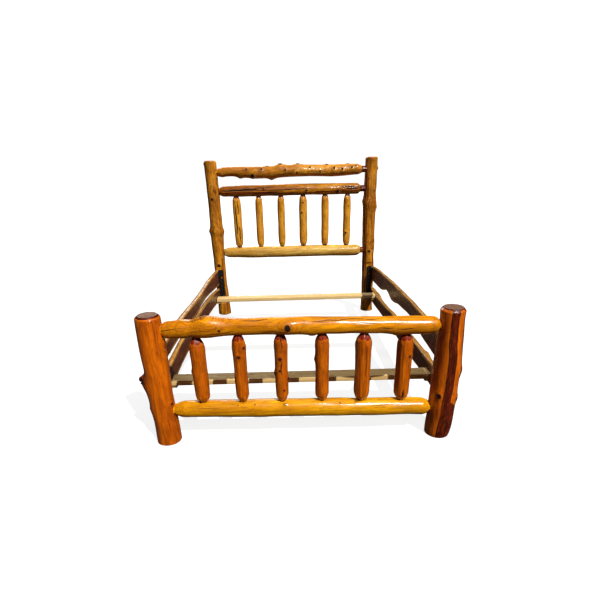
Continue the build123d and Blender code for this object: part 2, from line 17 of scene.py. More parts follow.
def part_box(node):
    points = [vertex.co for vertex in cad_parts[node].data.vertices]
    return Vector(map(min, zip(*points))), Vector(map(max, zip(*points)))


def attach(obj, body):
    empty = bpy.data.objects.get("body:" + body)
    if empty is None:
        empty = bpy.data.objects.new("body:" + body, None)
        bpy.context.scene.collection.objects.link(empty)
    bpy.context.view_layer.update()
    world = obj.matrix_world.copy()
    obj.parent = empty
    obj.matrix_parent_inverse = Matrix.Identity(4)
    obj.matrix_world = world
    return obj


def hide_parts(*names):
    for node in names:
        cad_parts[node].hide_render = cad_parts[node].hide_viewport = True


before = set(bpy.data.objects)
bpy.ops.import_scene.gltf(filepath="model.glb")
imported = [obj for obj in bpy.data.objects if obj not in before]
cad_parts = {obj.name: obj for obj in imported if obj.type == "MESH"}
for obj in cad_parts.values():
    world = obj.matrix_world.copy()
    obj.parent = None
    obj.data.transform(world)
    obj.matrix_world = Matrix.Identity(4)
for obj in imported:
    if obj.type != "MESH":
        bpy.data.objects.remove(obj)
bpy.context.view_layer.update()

MM = 0.001

# ---- How finely the logs are worked -----------------------------------------------------------------
AROUND_STEP = 3.2 * MM  # mesh steps round a log and along it
ALONG_STEP = 5.0 * MM
END_STEP = 2.5 * MM  # finer steps over END_ZONE at each end
END_ZONE = 125.0 * MM
SKIN = 0.15 * MM  # how far inside its ends a log's outermost rings are
REACH = 0.14  # radii are measured inwards from this far from the centre line
HOLE_SHARE = 0.55  # a radius under this share of its ring's is a mortise, which the skin bridges
HOLE_ROUNDS = 60  # rounds in which that bridge settles
HOLE_DISH = 2.5 * MM  # how far the skin dips at a mortise's mouth
SURVEY_STEP = 15.0 * MM  # steps of the first survey, which finds the centre line
SURVEY_TURNS = 36
OUTLIER = 2.5 * MM  # points this far off a ring's circle aren't used to centre it
CAP_SHARES = (0.985, 0.95, 0.9, 0.82, 0.73, 0.64, 0.55, 0.46, 0.37, 0.28, 0.19, 0.1)
CAP_RAY = (0.05, 0.08)  # how far outside a log's end the rays to it start, and how far they go
CAP_ROUGHNESS = 0.25 * MM

PLAIN_RADIUS = 55.0 * MM
LUMP = 1.1 * MM  # height of the slow waves in the skin of a log of that radius
LUMP_WAVES = (14, (0.14, 0.6), (0, 3))  # how many waves, their lengths, and their folds round the log
STROKE = 0.5 * MM  # depth of the drawknife's long strokes
STROKE_WAVES = (12, (0.25, 0.9), (5, 10))
ANY_PHASE = (0, 6.3)  # about a full turn, in radians
CALMER = 0.7  # how much of the lumps and strokes is gone on a taper
STANDING_OUT = 0.16  # most that a taper's flats stand out of the skin, as a share of the girth

FAR = 9.0  # the place of a point that no mark is near, in the mark's own radii or lengths
COLLAR = 1.9  # reach of the swelling round a knot, in knot radii
GRAIN_REACH = 5  # reach of the bend in the grain round a knot, in knot radii
STUB_HEIGHT = 3 * MM  # a knot swells less where a stub already stands this far out
KNOT_DISH = 1.6 * MM  # how far a knot's middle is worn down
KNOT_GROOVE = 1.2 * MM  # depth of the groove round it
GROOVE_PLACE, GROOVE_WIDTH = 1.05, 0.2  # in knot radii
SPLIT_LIPS = 1.6  # how much wider the skin dips than the split itself
FLAT_DEPTH = 2.0 * MM  # a point this far below its ring's girth is on a sawn flat
FLAT_SHARE = 0.6  # unless it is below this share of the girth, and so in a hole
FLAT_MARGIN = 2.5  # how firmly the skin near a flat is kept as it is
SAWN_DEPTH = 20.0 * MM  # added to the heartwood's depth on a sawn end: dry, greyer, with a painted sheen
STREAK_DEPTH = 12.0 * MM  # how deep in the heartwood the middle of a bold streak is
TAPERED = {"X": 150.0 * MM, "Z": 86.0 * MM}  # most that a rail's and a spindle's worked ends reach
BLUNT = {"foot_top_rail": 45.0 * MM}  # a log whose worked ends are shorter
TAPER_STARTS = 0.02  # a ring thinner than the plain log by more than this share is on a taper
TAPER_GROWS = 0.1  # and by this much more, well down it
SHOULDER, FULL_GIRTH = 0.8, 0.93  # shares of the plain girth between which a taper's slope is measured
STEEPER = 1.15  # how much steeper a taper's flats are at its shoulder than the rounded log
UNEVEN = 0.06  # how much the flats differ in depth, as a share of the radius
UNEVEN_TURN = 0.16  # and in direction, as a share of the turn from flat to flat
# The number of flats that the drawknife leaves round a rail's and a spindle's tapers, and down the whole
# length of the spindles that are worked to a polygon.
TAPER_FLATS = {"X": 10, "Z": 7}
HEWN_SPINDLES = {"foot_spindle_5": 9, "foot_spindle_6": 11, "foot_spindle_2": 10}

# ---- Natural marks of each log ----------------------------------------------------------------------
# A knot is (place along the log, turn, radius, darkness, swelling round it); places are in mm from the
# lower or left end, and turns in degrees. One with no darkness is only a swelling.
KNOTS = {
    "head_post_left": (
        (1440, 175, 13, 0.5, 3), (1138, 262, 15, 0.8, 2), (517, 270, 15, 0.88, 3),
        (845, 185, 17, 0.3, 7), (838, 8, 16, 0.3, 9), (1382, 320, 6, 0.88, 1),
        (960, 300, 5, 0.8, 1), (300, 80, 12, 0.8, 1), (1010, 60, 14, 0.88, 1),
        (1312, 338, 9, 1.0, 3), (625, 268, 22, 0.0, 4), (690, 235, 30, 0.0, 3),
        (1210, 290, 30, 0.0, 3), (846, 268, 26, 0.0, 3),
    ),
    "head_post_right": (
        (1087, 180, 18, 0.4, 8), (1028, 5, 17, 0.5, 8), (1062, 215, 26, 0.0, 4),
        (1058, 275, 26, 0.0, 4), (1062, 335, 26, 0.0, 4), (1374, 0, 15, 0.8, 4),
        (620, 268, 14, 0.88, 2), (710, 257, 6, 0.88, 1), (1285, 240, 5, 0.8, 1),
        (890, 100, 14, 0.88, 1), (330, 60, 12, 0.8, 1), (820, 210, 9, 1.0, 3),
        (1180, 300, 8, 0.9, 2), (640, 300, 26, 0.0, 4), (700, 300, 30, 0.0, 3),
    ),
    "foot_post_left": (
        (378, 194, 23, 1.0, 0), (383, 187, 15, 0.0, 14), (358, 187, 20, 0.0, 12),
        (330, 189, 24, 0.0, 6), (208, 197, 12, 1.0, 5), (577, 352, 20, 0.3, 4),
        (240, 336, 9, 1.0, 4), (420, 80, 15, 0.88, 1),
    ),
    "foot_post_right": (
        (262, 232, 14, 1.0, 6), (398, 332, 12, 1.0, 5), (398, 350, 22, 0.0, 5),
        (234, 328, 11, 1.0, 5), (234, 350, 20, 0.0, 4), (372, 318, 8, 0.9, 2),
        (560, 95, 15, 0.88, 1), (150, 120, 10, 0.8, 1),
    ),
    "head_top_rail": (
        (386, 212, 20, 1.0, 8), (642, 100, 24, 0.7, 19), (520, 108, 15, 0.6, 9),
        (267, 275, 17, 0.6, 11), (561, 272, 18, 0.7, 17), (805, 95, 17, 0.9, 12),
        (797, 198, 10, 0.8, 3), (690, 170, 10, 0.9, 4), (918, 150, 10, 1.0, 3),
        (1074, 104, 15, 0.9, 6), (1140, 160, 11, 1.0, 5), (1304, 158, 10, 1.0, 4),
        (1268, 92, 13, 0.8, 5), (1342, 142, 8, 0.9, 3), (1215, 170, 12, 1.0, 5),
        (470, 150, 11, 0.9, 4), (430, 168, 34, 0.0, 7), (590, 192, 30, 0.0, 6),
        (740, 168, 34, 0.0, 6), (860, 186, 28, 0.0, 5), (960, 162, 34, 0.0, 5),
        (1110, 188, 30, 0.0, 6), (1180, 158, 30, 0.0, 5), (330, 150, 10, 0.8, 4),
        (1010, 190, 9, 0.9, 3), (500, 60, 14, 0.8, 2), (980, 20, 15, 0.8, 2),
    ),
    "head_upper_rail": (
        (1174, 205, 16, 1.0, 3), (880, 190, 12, 0.9, 3), (482, 165, 12, 0.6, 1),
        (850, 60, 12, 0.8, 1), (300, 20, 9, 0.8, 1),
    ),
    "head_lower_rail": (
        (529, 120, 12, 0.4, 1), (464, 193, 4, 0.8, 1), (1100, 40, 9, 0.7, 1), (317, 150, 4, 0.6, 1),
    ),
    "foot_top_rail": (
        (262, 98, 22, 0.5, 9), (300, 118, 26, 0.0, 5), (676, 176, 18, 1.0, 9),
        (712, 168, 30, 0.0, 4), (798, 268, 20, 0.5, 7), (1225, 265, 22, 0.6, 6),
        (343, 185, 7, 0.9, 1), (1000, 30, 15, 0.8, 1), (440, 40, 10, 0.8, 1),
    ),
    "foot_bottom_rail": (
        (649, 130, 11, 0.5, 1), (1031, 110, 12, 0.6, 1), (489, 128, 4, 0.9, 1),
        (398, 132, 4, 0.8, 1), (942, 124, 5, 0.8, 1), (800, 20, 9, 0.7, 1),
    ),
    "foot_spindle_1": ((209, 182, 12, 0.6, 4), (330, 60, 6, 0.8, 1)),
    "foot_spindle_2": ((297, 268, 11, 1.0, 3), (344, 318, 9, 0.9, 3), (150, 100, 6, 0.8, 1)),
    "foot_spindle_3": (
        (195, 200, 12, 0.9, 4), (160, 340, 11, 0.9, 4), (282, 262, 11, 1.0, 3),
        (215, 255, 8, 0.9, 2), (100, 290, 8, 0.8, 1),
    ),
    "foot_spindle_4": ((268, 180, 13, 0.7, 4), (150, 70, 7, 0.8, 1)),
    "foot_spindle_5": ((120, 40, 7, 0.7, 1), (300, 120, 6, 0.7, 1)),
    "foot_spindle_6": ((289, 300, 10, 1.0, 3), (210, 90, 7, 0.8, 1)),
    "head_spindle_2": ((320, 40, 5, 0.7, 1),),
    "head_spindle_3": ((320, 263, 3.5, 0.6, 1),),
    "head_spindle_4": (
        (345, 250, 10, 0.8, 2), (433, 267, 8, 0.88, 1), (240, 275, 4, 0.8, 1),
        (175, 269, 4, 0.7, 1),
    ),
    "head_spindle_6": ((150, 250, 12, 1.0, 3), (129, 225, 7, 0.88, 2), (400, 280, 5, 0.8, 1)),
}

# A girdle is (place, half length, rise), in mm: a stretch where the whole log is thicker, or thinner.
HEAD_RAIL_GIRDLES = ((290, 260, 3.8), (750, 260, 3.8), (1240, 270, 3.8))
HEAD_SPINDLE_GIRDLES = ((150, 130, 3.2), (395, 130, 3.2))
FOOT_SPINDLE_GIRDLES = ((368, 34, 2.6), (330, 30, 1))
GIRDLES = {
    "foot_top_rail": ((78, 26, 7), (200, 34, -7), (285, 45, 3)),
    "head_post_left": ((842, 34, 4), (810, 140, 3), (1080, 180, 2)),
    "head_post_right": ((1150, 60, -2), (710, 95, 2.5)),
    **{f"head_{level}_rail": HEAD_RAIL_GIRDLES for level in ("top", "upper", "lower")},
    **{f"head_spindle_{k}": HEAD_SPINDLE_GIRDLES for k in range(1, 7)},
    **{f"foot_spindle_{k}": FOOT_SPINDLE_GIRDLES for k in range(1, 7)},
}

# A split is (middle along the log, turn, half length, half width, depth), in mm but for the turn.
SPLITS = {
    "head_upper_rail": (
        (290, 170, 240, 6.5, 7), (470, 152, 150, 3.0, 5), (790, 174, 160, 3.0, 5),
        (1290, 158, 125, 4.2, 6), (1310, 179, 115, 3.6, 6), (640, 30, 260, 2.0, 5),
    ),
    "head_top_rail": ((650, 205, 90, 1.5, 4), (1000, 190, 110, 1.4, 4), (300, 165, 60, 1.6, 4)),
    "head_lower_rail": ((500, 175, 170, 1.0, 3), (1000, 165, 90, 0.9, 3)),
    "head_spindle_1": ((265, 256, 215, 5.5, 8), (170, 292, 140, 4.5, 7), (400, 290, 90, 3.4, 6)),
    "head_post_left": ((420, 300, 110, 1.2, 4), (980, 250, 70, 1.2, 4), (250, 265, 110, 1.4, 4)),
    "head_post_right": (
        (1240, 235, 90, 1.8, 4), (930, 280, 110, 1.6, 4), (760, 215, 120, 2.2, 4),
        (560, 235, 120, 2.0, 4),
    ),
    "foot_post_left": ((330, 212, 190, 1.6, 4), (120, 300, 50, 1.0, 3)),
    "foot_post_right": ((480, 262, 200, 1.6, 4), (200, 285, 150, 1.8, 4)),
    "foot_top_rail": (
        (524, 119, 90, 2.4, 4), (885, 127, 100, 2.6, 4), (985, 116, 90, 2.6, 4),
        (1155, 184, 50, 2.2, 3), (1262, 187, 40, 2.2, 3), (1060, 150, 70, 1.5, 3),
        (600, 205, 60, 2.0, 3), (350, 204, 70, 2.2, 4), (95, 165, 60, 1.4, 3),
        (222, 112, 55, 2.2, 4), (275, 100, 45, 1.8, 3), (1090, 118, 60, 1.6, 3),
    ),
    "foot_bottom_rail": ((250, 150, 80, 0.9, 3), (1180, 140, 90, 0.9, 3)),
    "foot_spindle_3": ((375, 276, 40, 2.2, 4), (235, 270, 60, 2.6, 4)),
    "foot_spindle_6": ((72, 268, 34, 4.5, 6), (230, 300, 60, 1.6, 3)),
    "foot_spindle_5": ((230, 285, 120, 1.2, 3),),
}

# A heartwood streak is (turn, half width in degrees, from, to, strength), where the sapwood is cut away.
STREAKS = {
    "foot_post_right": (
        (268, 20, -90, 900, 1.0), (322, 7, 420, 900, 0.8), (292, 46, -90, 130, 1.0),
        (120, 25, 100, 600, 0.8),
    ),
    "foot_post_left": ((208, 6, 80, 600, 0.5), (222, 4, 60, 420, 0.4)),
    "head_post_right": (
        (204, 9, 300, 640, 0.8), (220, 8, 480, 1300, 0.8), (240, 5, 620, 1180, 0.7),
        (236, 7, 240, 700, 0.7), (318, 14, 60, 560, 0.6),
    ),
    "head_post_left": ((205, 9, 60, 500, 0.4), (310, 8, 60, 560, 0.5)),
    "head_upper_rail": (
        (176, 9, 30, 700, 0.6), (198, 12, 40, 560, 0.7), (214, 9, 420, 980, 0.5),
        (200, 9, 1010, 1430, 0.6),
    ),
}

# Rails whose wood is unlike that of the others of their end.
RAIL_TONES = {"head_lower_rail": "pale", "head_upper_rail": "dark", "foot_bottom_rail": "pale"}

# Shares of a log's radius that are heartwood, at its lower or left end and at its other end.
HEARTS = {
    "post": {"head": (0.72, 0.72), "foot": (0.8, 0.88)},
    "rail": {"head": (0.66, 0.7), "foot": (0.5, 0.5)},
    "spindle": {"head": (0.7, 0.78), "foot": (0.6, 0.86)},
}
SEEDS = {"log": 100, "board": 300, "slat": 400, "block": 410}

# ---- Side boards, slats and blocks -----------------------------------------------------------------
BOARD_STEP = 6.0 * MM
FACE_STEP = 7.0 * MM
EASED_INNER = 5.0 * MM  # rounding of a board's inner and outer edges
EASED_OUTER = 9.0 * MM
WANE_DEPTH = 2.2 * MM  # lumps under the bark
WANE_WAVES = 16  # how many waves make the lumps
WAVE = 6.283  # one wave, in radians
SAW_WAVE = 0.35 * MM
# How far across a board's thickness the points of its edges lie, from its inner face.
EDGE_SHARES = (0.0, 0.02, 0.06, 0.12, *np.linspace(0.2, 0.7, 8), 0.78, 0.85, 0.9, 0.94, 0.97, 0.99, 1.0)
EDGE_PROBES = 5  # how many heights of an edge are read across it
PROBE_START = 0.02  # how far outside the board the rays for them start
# A swelling of the outer edge is (place along the bed, half length, rise), in mm.
SWELLINGS = {"right_lower_board": ((790, 150, 30), (975, 90, 14), (-690, 55, 18))}
TIMBER_STEP = 12.0 * MM
TIMBER_EASING = 2.2 * MM
SHARP_EDGE = 50  # a mesh edge turned by more degrees than this isn't smoothed

# ---- Camera, floor and lights ----------------------------------------------------------------------
CAMERA_AT = (-0.0428, -3.0039, 1.3534)
CAMERA_YAW = 0.344  # degrees clockwise from +Y
CAMERA_DOWN = 23.322
CAMERA_ROLL = 1.410
SENSOR = 36.0  # mm
LENS = 24.336  # mm
SHIFT = (0.0080, 0.0788)
FLOOR_SIZE = 60.0
FLOOR_FADE = (1.6, 6.0)  # how far out the floor starts and ends its fade to white
FLOOR_GLOW = 0.82  # how strongly it is lifted to white under the bed, so that shadows stay faint on it
WORLD_GLOW = 0.05  # how strongly the plain surroundings light the bed
WORLD_SEEN = 1.06  # how bright they look behind it

# A lamp is (name, kind, place, target, size, power, lights the wood, shows in its gloss).
LAMPS = (
    ("sun", "SUN", (2.5, -3.46, 5.0), (0, 0, 0), 0.012, 5.0, True, True),
    ("gloss", "AREA", (1.5, -3.9, 4.7), (0.2, -0.6, 0.4), 1.0, 350, False, True),
    ("fill", "AREA", (-3.8, -2.2, 2.0), (0, 0, 0.5), 2.2, 3, True, False),
    ("sky", "AREA", (0.2, 0.8, 4.8), (0, 0, 0.3), 3.2, 72, True, False),
    ("back", "AREA", (-1.2, 4.6, 3.0), (0, 0.5, 0.8), 2.4, 90, True, True),
)

# ---- Colours, as sRGB ------------------------------------------------------------------------------
# A log's wood: pale and dark sapwood, heartwood, knots, streaks, and the scars beside knots.
WOOD_TONES = {
    "honey_post_wood": ("#EA9C22", "#96540C", "#6E2206", "#160702", "#4A2206", "#F2CC80"),
    "honey_rail_wood": ("#E8A22E", "#A8640F", "#7E2A08", "#180803", "#5E3008", "#F2CC80"),
    "dark_rail_wood": ("#E2961A", "#844604", "#7A2808", "#150602", "#3E1E06", "#E8B45A"),
    "pale_rail_wood": ("#ECC25E", "#BA8A34", "#8E3A12", "#4A2812", "#80561E", "#F6DC9A"),
    "honey_spindle_wood": ("#F6B23A", "#BC7814", "#8A3208", "#1E0A03", "#6A380A", "#F2CC80"),
    "amber_post_wood": ("#F07804", "#AC4C02", "#641A05", "#170402", "#702A02", "#F4B050"),
    "pale_amber_rail_wood": ("#FAB40A", "#CA8204", "#8E3208", "#2A0C04", "#8A4A06", "#F8D070"),
    "amber_rail_wood": ("#FFA604", "#C47404", "#822A06", "#1A0602", "#7A3803", "#F8D070"),
    "amber_spindle_wood": ("#DE7004", "#984002", "#A8300C", "#3A0C04", "#602004", "#F0A848"),
}
SAWN_END_GREY_AND_SHEEN = "#866652"  # dry heartwood on a sawn end, greyer, with a painted sheen of reflected sky mixed in
SPLIT_DARK = "#150805"


# ---- Reading the frame's shapes ---------------------------------------------------------------------
def surface_of(node):
    """A search tree over a CAD node's surface."""
    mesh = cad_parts[node].data
    points = np.empty(len(mesh.vertices) * 3, np.float32)
    mesh.vertices.foreach_get("co", points)
    mesh.calc_loop_triangles()
    corners = np.empty(len(mesh.loop_triangles) * 3, np.int32)
    mesh.loop_triangles.foreach_get("vertices", corners)
    return BVHTree.FromPolygons(points.reshape(-1, 3).tolist(), corners.reshape(-1, 3).tolist())


def placed(axis, u, v, along):
    """Points from their sideways and lengthwise places on a log along Z or X."""
    u, v, along = np.broadcast_arrays(u, v, along)
    return np.stack((u, v, along) if axis == "Z" else (along, u, v), -1)


def measured(tree, axis, along, centre, turns):
    """The radius of a log at each station and turn, and nan where nothing is hit."""
    radii = np.full((len(along), len(turns)), np.nan)
    ways = [Vector(way) for way in placed(axis, np.cos(turns), np.sin(turns), 0.0).tolist()]
    for i, station in enumerate(along):
        middle = Vector(placed(axis, centre[i][0], centre[i][1], station).tolist())
        for j, way in enumerate(ways):
            distance = tree.ray_cast(middle + way * REACH, -way, REACH)[3]
            if distance is not None:
                radii[i, j] = REACH - distance
    return radii


def open_places(radii):
    """Where the radii run into a mortise or pilot hole."""
    return ~(radii > HOLE_SHARE * np.nanmedian(radii, axis=1, keepdims=True))


def centred(radii, turns):
    """How far the middle of each ring is from where it was measured."""
    waves = np.stack((np.ones_like(turns), np.cos(turns), np.sin(turns)), 1)
    shifts = np.zeros((len(radii), 2))
    sound = ~open_places(radii)
    for i, ring in enumerate(radii):
        use = sound[i]
        for _ in range(3):
            fit = np.linalg.lstsq(waves[use], ring[use], rcond=None)[0]
            off = np.abs(np.nan_to_num(ring - waves @ fit, nan=1.0))
            use = sound[i] & (off < max(OUTLIER, np.median(off[sound[i]])))
        shifts[i] = fit[1:]
    return shifts


def running_mean(values, reach):
    """Values smoothed along their first axis over reach steps each way."""
    padded = np.pad(values, [(reach, reach)] + [(0, 0)] * (values.ndim - 1), mode="edge")
    return np.mean([padded[k : k + len(values)] for k in range(2 * reach + 1)], axis=0)


def stations(low, high):
    """Places along a log, closer together near its ends."""
    ends = np.arange(0.0, END_ZONE, END_STEP)
    count = max(2, round((high - low - 2 * END_ZONE) / ALONG_STEP))
    middle = np.linspace(low + END_ZONE, high - END_ZONE, count)
    return np.concatenate((low + ends, middle, high - ends[::-1]))


@dataclass
class Skin:
    """A log's skin: its radius at each station along its centre line and turn round it."""

    axis: str
    along: np.ndarray
    turns: np.ndarray
    centre: np.ndarray
    radii: np.ndarray
    holes: np.ndarray
    worked: float

    @property
    def ahead(self):
        """How far each ring is from the lower or left end, as a column."""
        return (self.along - self.along[0])[:, None]

    @property
    def girth(self):
        """The plain radius of each ring."""
        return np.median(self.radii, axis=1)


def skin_of(node):
    """The skin of a log, with its mortises bridged, and the search tree over it."""
    low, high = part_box(node)
    axis = "X" if high.x - low.x > high.z - low.z else "Z"
    length, across = (0, (1, 2)) if axis == "X" else (2, (0, 1))
    tree = surface_of(node)
    ends = (low[length] + SKIN, high[length] - SKIN)
    guess = [(low[k] + high[k]) / 2 for k in across]
    survey = np.linspace(*ends, max(8, round((ends[1] - ends[0]) / SURVEY_STEP)))
    turns = np.arange(SURVEY_TURNS) * math.tau / SURVEY_TURNS
    centre = np.tile(guess, (len(survey), 1))
    for _ in range(2):
        centre = centre + centred(measured(tree, axis, survey, centre, turns), turns)
    centre = running_mean(centre, 2)
    along = stations(*ends)
    line = np.stack([np.interp(along, survey, centre[:, k]) for k in range(2)], 1)
    radius = (high[across[0]] - low[across[0]]) / 2
    count = round(math.tau * radius / AROUND_STEP)
    turns = np.arange(count) * math.tau / count
    radii = measured(tree, axis, along, line, turns)
    holes = open_places(radii)
    worked = BLUNT.get(node, TAPERED[axis])
    return Skin(axis, along, turns, line, bridged(radii, holes), holes, worked), tree


def neighbours(field):
    """The mean of each point's four neighbours on a grid that closes round the log."""
    padded = np.pad(field, ((1, 1), (0, 0)), mode="edge")
    return (padded[:-2] + padded[2:] + np.roll(field, 1, 1) + np.roll(field, -1, 1)) / 4


def softened(field, rounds):
    """A field with its sharp changes smoothed out."""
    for _ in range(rounds):
        field = (field + 2 * neighbours(field)) / 3
    return field


def bridged(radii, holes):
    """The radii with each hole filled from the skin round it."""
    filled = np.where(holes, np.nanmedian(radii, axis=1, keepdims=True), radii)
    for _ in range(HOLE_ROUNDS):
        filled = np.where(holes, neighbours(filled), filled)
    return filled


# ---- Natural marks ---------------------------------------------------------------------------------
def wrapped(turns, degrees):
    """Turns measured from degrees, from -pi to pi."""
    return (turns - math.radians(degrees) + math.pi) % math.tau - math.pi


def slow_waves(skin, rng, count, lengths, folds):
    """A sum of waves that closes round the log, about -1 to 1."""
    total = np.zeros(skin.radii.shape)
    for _ in range(count):
        pitch = rng.uniform(*lengths)
        fold = int(rng.integers(folds[0], folds[1] + 1))
        phase = skin.along[:, None] * math.tau / pitch + fold * skin.turns[None, :]
        total += np.cos(phase + rng.uniform(*ANY_PHASE))
    return total / math.sqrt(count)


def knot_fields(skin, knots):
    """Each point's place in its nearest knot, and how knots turn the grain and swell the skin."""
    nearest = np.zeros(skin.radii.shape + (3,))
    nearest[..., 0] = FAR
    closest = np.full(skin.radii.shape, FAR)
    bend = np.zeros(skin.radii.shape)
    swell = np.zeros(skin.radii.shape)
    girth = skin.girth[:, None]
    for place, turn, radius, strength, height in knots:
        radius = radius * MM
        ahead = skin.ahead - place * MM + 0 * skin.radii
        aside = wrapped(skin.turns, turn)[None, :] * girth
        gap = np.hypot(ahead, aside)
        fade = np.exp(-gap / (GRAIN_REACH * radius))
        bend -= aside / girth * radius**2 / np.maximum(gap, radius) ** 2 * fade
        rise = height * MM * np.exp(-((gap / (COLLAR * radius)) ** 2))
        swell += rise * (1 - np.clip((skin.radii - girth - STUB_HEIGHT) / (rise + MM), 0, 1))
        nearer = (gap / radius < closest) & (strength > 0)
        closest = np.where(nearer, gap / radius, closest)
        here = np.stack((ahead / radius, aside / radius, np.full_like(gap, strength)), -1)
        nearest = np.where(nearer[..., None], here, nearest)
    return nearest, bend, swell


def split_fields(skin, splits, rng):
    """Each point's place in its nearest split, in the split's half lengths and half widths."""
    nearest = np.zeros(skin.radii.shape + (3,))
    nearest[..., :2] = FAR
    closest = np.full(skin.radii.shape, FAR)
    for place, turn, reach, width, depth in splits:
        ahead = skin.ahead / MM - place + 0 * skin.radii
        wander = 2.2 * np.sin(ahead / rng.uniform(14, 20) + rng.uniform(0, 6)) + 3 * np.sin(ahead / 70)
        aside = wrapped(skin.turns, turn)[None, :] * skin.girth[:, None] / MM + wander
        apart = np.hypot(ahead / reach, aside / (8 * width))
        nearer = apart < closest
        closest = np.where(nearer, apart, closest)
        here = np.stack((ahead / reach, aside / width, np.full_like(ahead, depth)), -1)
        nearest = np.where(nearer[..., None], here, nearest)
    return nearest


def plain_girth(skin):
    """The girth that each half of a log has inside its tapered end."""
    reach = skin.worked
    inside = np.clip(skin.along, skin.along[0] + reach, skin.along[-1] - reach)
    return np.interp(inside, skin.along, running_mean(skin.girth, 3))


def tapering(skin):
    """How far each ring is down a taper: 0 on the plain log, 1 from an eighth thinner."""
    thinner = 1 - skin.girth / plain_girth(skin)
    return np.clip((thinner - TAPER_STARTS) / TAPER_GROWS, 0, 1)[:, None]


def flats(turns, count, rng):
    """The radius of an uneven polygon at each turn, about 1."""
    start = rng.uniform(*ANY_PHASE)
    places = np.arange(count) + rng.uniform(-UNEVEN_TURN, UNEVEN_TURN, count)
    middles = start + places * math.tau / count
    cosines = np.maximum(np.cos(turns[None, :] - middles[:, None]), 0.2)
    sides = (1 + rng.uniform(-1, 1, count) * UNEVEN)[:, None] / cosines
    shape = sides.min(axis=0)
    return shape / shape.mean()


def tapered_radius(skin):
    """The radius of each ring were the tapers' slopes carried on past their shoulders."""
    girth, plain = running_mean(skin.girth, 1), plain_girth(skin)
    carried = np.full(len(girth), np.inf)
    for way in (slice(None), slice(None, None, -1)):
        ring, full, along = girth[way], plain[way], skin.along[way]
        first = int(np.argmax(ring > SHOULDER * full))
        last = int(np.argmax(ring > FULL_GIRTH * full))
        if first < 2 or last <= first:
            continue
        run = np.abs(along - along[first])
        slope = STEEPER * (ring[last] - ring[first]) / run[last]
        line = np.where(np.arange(len(ring)) < first, ring, ring[first] + slope * run)
        carried[way] = np.minimum(carried[way], line)
    return carried


def heart_depth(skin, share, streaks, rng):
    """How deep each point is inside the heartwood, in metres, and less than 0 in the sapwood."""
    shares = np.interp(skin.along, (skin.along[0], skin.along[-1]), share)
    depth = (shares * plain_girth(skin))[:, None] - skin.radii
    for turn, width, start, end, strength in streaks:
        along = skin.ahead / MM
        wander = np.sin(along / rng.uniform(60, 90) + rng.uniform(0, 6)) + 0.4 * np.sin(along / 27)
        aside = np.degrees(wrapped(skin.turns, turn))[None, :] / width + 0.16 * wander
        beyond = np.maximum(0, np.maximum(start - along, along - end)) / 90
        depth = np.maximum(depth, STREAK_DEPTH * (strength - np.hypot(aside, beyond)))
    return depth


def worn_depth(skin, knots, splits, tapered, hewn, rng):
    """How far the worn skin lies inside the plain one."""
    thickness = np.median(skin.girth) / PLAIN_RADIUS
    taper = tapering(skin)
    lumps = LUMP * thickness * slow_waves(skin, rng, *LUMP_WAVES)
    strokes = STROKE * (np.abs(slow_waves(skin, rng, *STROKE_WAVES)) - 0.5)
    depth = (lumps + strokes) * (1 - CALMER * taper)
    if hewn:
        depth += skin.girth[:, None] * (1 - flats(skin.turns, hewn, rng))[None, :]
    if tapered:
        hewn_faces = flats(skin.turns, TAPER_FLATS[skin.axis], rng)[None, :]
        cut = skin.radii - tapered_radius(skin)[:, None] * hewn_faces
        cut = np.maximum(cut, -STANDING_OUT * skin.girth[:, None])
        depth = np.maximum(depth + (cut - depth) * taper, cut)
    apart = np.hypot(knots[..., 0], knots[..., 1])
    groove = np.exp(-(((apart - GROOVE_PLACE) / GROOVE_WIDTH) ** 2))
    depth += knots[..., 2] * KNOT_GROOVE * groove
    depth += knots[..., 2] * KNOT_DISH * np.clip(1 - apart**2, 0, 1)
    across = np.abs(splits[..., 1]) / SPLIT_LIPS
    tip = np.clip(1 - splits[..., 0] ** 2, 0, 1)
    depth += splits[..., 2] * 0.5 * MM * np.clip(1 - across, 0, 1) * tip
    return depth


def kept_exact(skin):
    """Where the skin is a sawn flat or an end that other pieces touch: 1 there, 0 on the free log."""
    girth = skin.girth[:, None]
    sunk = (skin.radii < girth - FLAT_DEPTH) & ~skin.holes & (skin.radii > FLAT_SHARE * girth)
    return np.clip(softened(sunk.astype(float), 4) * FLAT_MARGIN, 0, 1)


def log_mesh(name, skin, tree, fields):
    """The mesh of a log from its skin, with closed ends, and its wood fields as attributes."""
    rings, count = skin.radii.shape
    cos, sin = np.cos(skin.turns), np.sin(skin.turns)
    u = skin.centre[:, :1] + skin.radii * cos
    v = skin.centre[:, 1:] + skin.radii * sin
    points = placed(skin.axis, u, v, skin.along[:, None]).reshape(-1, 3)
    i, j = np.meshgrid(np.arange(rings - 1), np.arange(count), indexing="ij")
    after = (j + 1) % count
    near, far = i * count, (i + 1) * count
    quads = np.stack((near + j, near + after, far + after, far + j), -1)
    faces = [quads.reshape(-1, 4)]
    values = {key: value.reshape(rings * count, -1) for key, value in fields.items()}
    fans = []
    for end, direction in ((0, -1), (rings - 1, 1)):
        points, values, quads, fan = capped(skin, tree, end, direction, points, values)
        faces.append(quads)
        fans.append(fan)
    corners = [*np.concatenate(faces).tolist(), *np.concatenate(fans).tolist()]
    return smooth_mesh(name, points, corners, values)


def smooth_mesh(name, points, corners, fields):
    """A mesh with fields as attributes, each of one number or vector for every vertex."""
    mesh = bpy.data.meshes.new(name)
    mesh.from_pydata(points.tolist(), [], corners)
    for key, values in fields.items():
        kind, part = ("FLOAT_VECTOR", "vector") if values.shape[1] == 3 else ("FLOAT", "value")
        layer = mesh.attributes.new(key, kind, "POINT")
        layer.data.foreach_set(part, np.ascontiguousarray(values, np.float32).ravel())
    mesh.shade_smooth()
    return mesh


